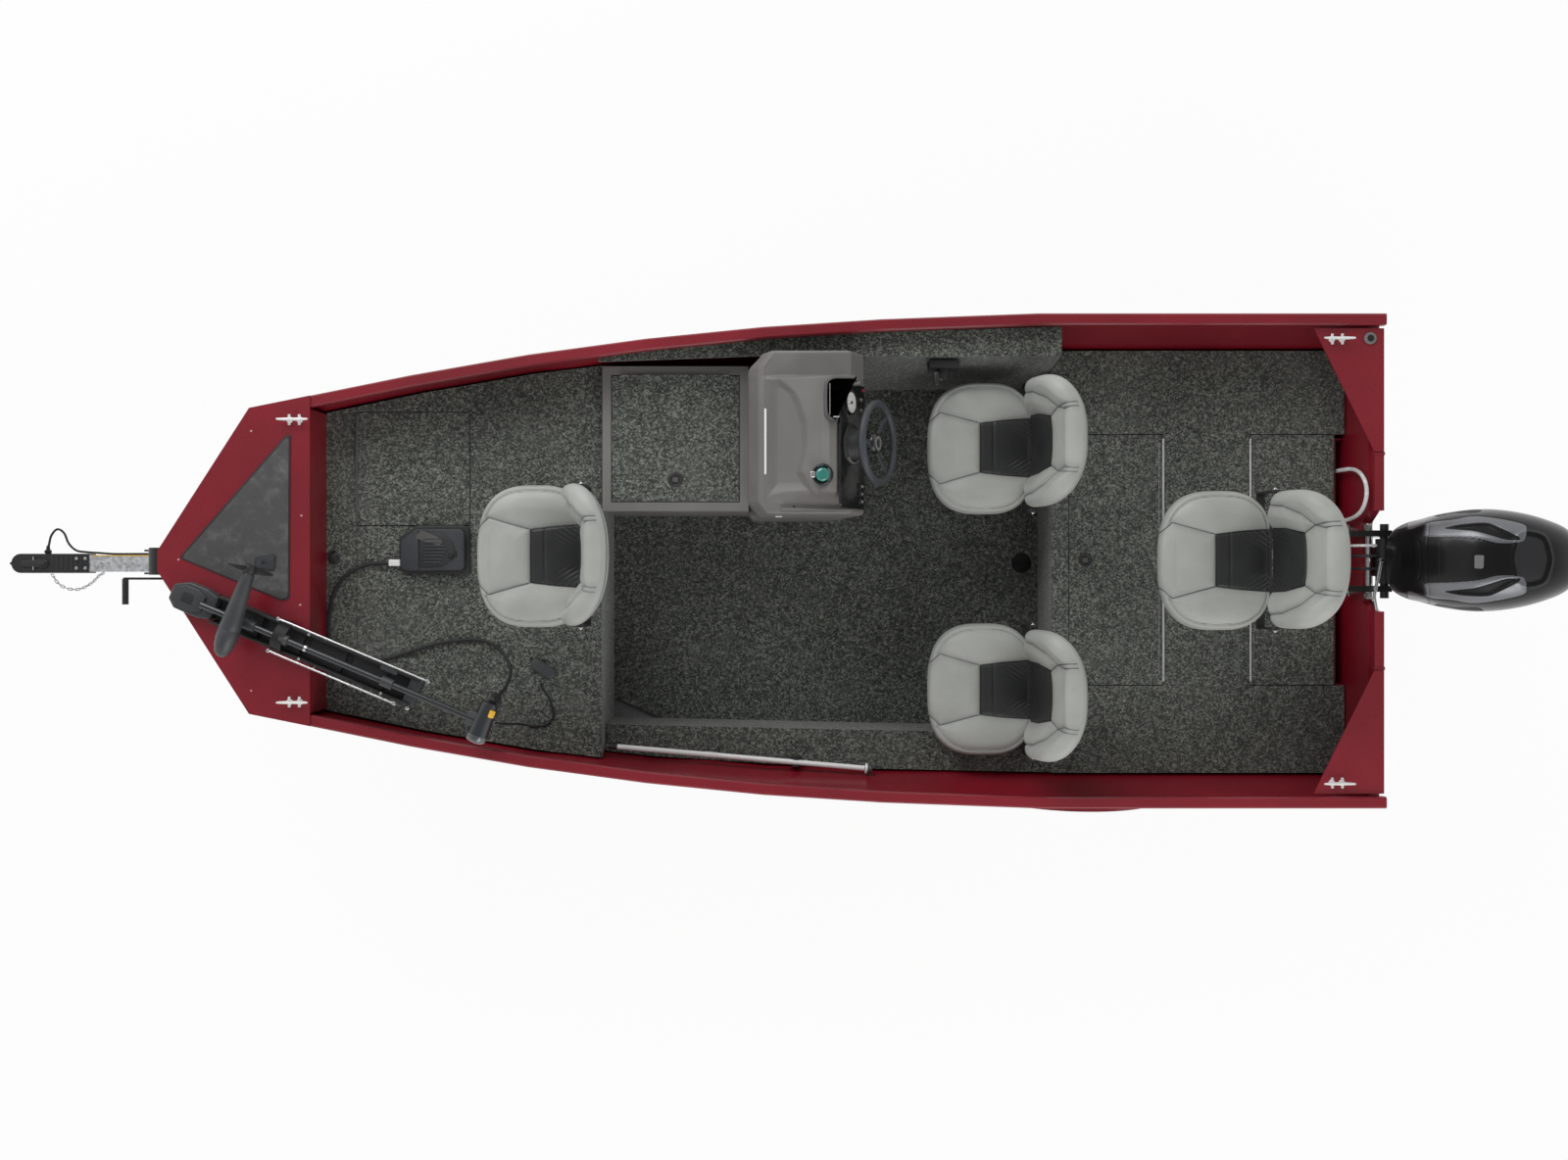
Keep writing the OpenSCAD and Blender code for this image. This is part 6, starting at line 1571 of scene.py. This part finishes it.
# tyre: profile radius by height across; the tread is a wave of grooves along the turn
def tyrePart():
    half = np.array([(0.170, -0.058), (0.176, -0.072), (0.186, -0.080), (0.215, -0.0865),
                     (0.245, -0.0875), (0.272, -0.083), (0.290, -0.074), (0.2995, -0.062),
                     (0.3032, -0.050), (0.3045, -0.030), (0.305, -0.010)])
    profile = smoothPath(np.concatenate([half, half[::-1] * (1, -1)]), 5)
    a = -np.linspace(0, 2 * np.pi, 300, endpoint=False)[None, :]
    r, z = profile[:, :1], profile[:, 1:]
    crown = eased(r, 0.288, 0.299)
    lanes = np.exp(-((np.abs(z) - 0.016) / 0.003) ** 2) + np.exp(-((np.abs(z) - 0.043)
                                                                   / 0.003) ** 2)
    cuts = np.clip(np.sin(75 * a + 9 * np.sign(z) * z * 40) * 4 - 2.6, 0, 1)
    cuts = cuts * (np.abs(z) > 0.016)
    r = r - 0.0055 * crown * np.clip(lanes + cuts, 0, 1)
    z = z + 0 * a
    return (np.stack([r * np.cos(a), r * np.sin(a), z], -1).reshape(-1, 3),
            gridFaces(len(profile), 300, True, True))


# rim: a pressed dish whose face is raised into five spokes between window recesses
def rimPart():
    r = np.concatenate([np.linspace(0.0302, 0.135, 40), np.linspace(0.137, 0.170, 14)])[:, None]
    a = np.linspace(0, 2 * np.pi, 240, endpoint=False)[None, :]
    share = (r - 0.05) / (0.125 - 0.05)
    window = eased(share, 0.18, 0.34) * (1 - eased(share, 0.86, 1.0))
    petal = eased(np.cos(5 * a), -0.1, 0.55)
    face = 0.030 + 0.018 * eased(r, 0.06, 0.125) - 0.020 * window * petal \
        + 0.010 * eased(r, 0.150, 0.158) + 0.004 * (r > 0.164)
    hubRise = 0.012 * (1 - eased(r, 0.052, 0.060))
    z = face + hubRise + 0 * a
    top = np.stack([r * np.cos(a), r * np.sin(a), z], -1)
    under = np.stack([r * np.cos(a), r * np.sin(a), 0 * z - 0.055], -1)
    grid = np.concatenate([top, under[::-1]])
    return grid.reshape(-1, 3), gridFaces(2 * len(r), 240, True, True)


nuts = [discPart((0.082 * math.cos(t), 0.082 * math.sin(t), 0.033), 0.0098, 0.014, sides=6)
        for t in np.linspace(0, 2 * np.pi, 5, endpoint=False)]
capShape = spunPart([(0.031, -0.01), (0.0305, 0.048), (0.027, 0.056), (0.018, 0.061),
                     (0.002, 0.062)], sides=40)
for side, name in ((1, "starboard"), (-1, "port")):
    place = (wheel["x"], wheel["y"], wheel["z"])
    groups = [[tyrePart()], [rimPart()], nuts, [capShape]]
    groups = [[moved(aimed(outward(part), (0, 1, 0)), *place) for part in group]
              for group in groups]
    if side < 0:
        groups = [[mirrored(part) for part in group] for group in groups]
    addPieces(name + "Tyre", name + "_wheel", ["tyre", "rimSilver", "bright", "blackPlastic"],
              groups, "wheel_" + name, sharp=40)

# coupler: ribs, latch lever and safety pin on its cast body
ribsTop = [boxPart((x, -0.034, 0.4735), (x + 0.007, 0.034, 0.4758), 0.0008)
           for x in np.arange(-3.07, -2.93, 0.022)]
latch = slabPart(roundedOutline([(-3.205, -0.013), (-3.10, -0.019), (-3.085, -0.012),
                                 (-3.085, 0.012), (-3.10, 0.019), (-3.205, 0.013)], 0.006, 4),
                 0.4738, 0.4835, 0.003)
addPieces("couplerTop", root, ["blackPlastic", "bright"],
          [ribsTop + [latch, boxPart((-3.125, -0.008, 0.4835), (-3.092, 0.008, 0.492), 0.003)],
           [tubePart([(-3.15, -0.030, 0.479), (-3.15, 0.030, 0.479)], 0.0035, 12)]
           + [discPart((x, y, 0.4738), 0.0075, 0.006, sides=6) for x in (-2.955, -2.915)
              for y in (-0.022, 0.022)]], sharp=40)

# yellow guide strip along the tongue's starboard edge, and its marker bolts
strip = boxPart((-2.885, 0.0335, 0.4702), (-2.310, 0.0375, 0.4722), 0.0006)
addPieces("tongueStrip", root, ["yellow", "bright"],
          [[strip], [discPart((x, 0.0, 0.470), 0.010, 0.006, sides=6)
                     for x in (-2.84, -2.70, -2.42)]], sharp=40)

print("trailer done")


# floor, backdrop and light

studio = {"floorSize": 60.0, "keySize": 5.0, "keyPower": 380.0, "world": 1.0, "zenith": 0.3}

floorMesh = bpy.data.meshes.new("floor")
half = studio["floorSize"] / 2
floorMesh.from_pydata([(-half, -half, 0), (half, -half, 0), (half, half, 0), (-half, half, 0)],
                      [], [(0, 1, 2, 3)])
floor = bpy.data.objects.new("floor", floorMesh)
bpy.context.scene.collection.objects.link(floor)
floorFinish = Finish("floorWhite", (0.8, 0.8, 0.8), 0.9)
seen = [floorFinish.node("ShaderNodeLightPath", out=key)
        for key in ("Is Camera Ray", "Is Glossy Ray", "Is Transmission Ray")]
path = seen[0].larger(seen[1]).larger(seen[2])
glow = floorFinish.tree.nodes.new("ShaderNodeEmission")
mixed = floorFinish.tree.nodes.new("ShaderNodeMixShader")
floorFinish.tree.links.new((path * 0.93).socket, mixed.inputs[0])
floorFinish.tree.links.new(floorFinish.shader.outputs[0], mixed.inputs[1])
floorFinish.tree.links.new(glow.outputs[0], mixed.inputs[2])
floorFinish.tree.links.new(mixed.outputs[0],
                           floorFinish.tree.nodes["Material Output"].inputs[0])
floorMesh.materials.append(floorFinish.material)

world = bpy.data.worlds.new("studioWorld")
bpy.context.scene.world = world
world.use_nodes = True
sky = world.node_tree.nodes["Background"]
sky.inputs[0].default_value = (1, 1, 1, 1)
# bright towards the horizon, dim overhead, so that level gloss keeps its own colour
towards = world.node_tree.nodes.new("ShaderNodeTexCoord")
split = world.node_tree.nodes.new("ShaderNodeSeparateXYZ")
world.node_tree.links.new(towards.outputs["Generated"], split.inputs[0])
fade = world.node_tree.nodes.new("ShaderNodeMapRange")
fade.interpolation_type = "SMOOTHSTEP"
world.node_tree.links.new(split.outputs[2], fade.inputs["Value"])
fade.inputs["From Min"].default_value = 0.35
fade.inputs["From Max"].default_value = 0.9
fade.inputs["To Min"].default_value = studio["world"]
fade.inputs["To Max"].default_value = studio["zenith"]
world.node_tree.links.new(fade.outputs["Result"], sky.inputs[1])

for label, spot, size, power in (
        ("keyLamp", (-3.0, 6.6, 6.0), studio["keySize"], studio["keyPower"]),
        ("fillLamp", (2.5, -7.0, 5.6), studio["keySize"], 0.62 * studio["keyPower"])):
    lampData = bpy.data.lights.new(label, "AREA")
    lampData.size = size
    lampData.energy = power
    lamp = bpy.data.objects.new(label, lampData)
    lamp.location = spot
    lamp.rotation_euler = Vector((0.2 - spot[0], -spot[1], 0.9 - spot[2])).to_track_quat(
        "-Z", "Y").to_euler()
    bpy.context.scene.collection.objects.link(lamp)

print("studio ready")
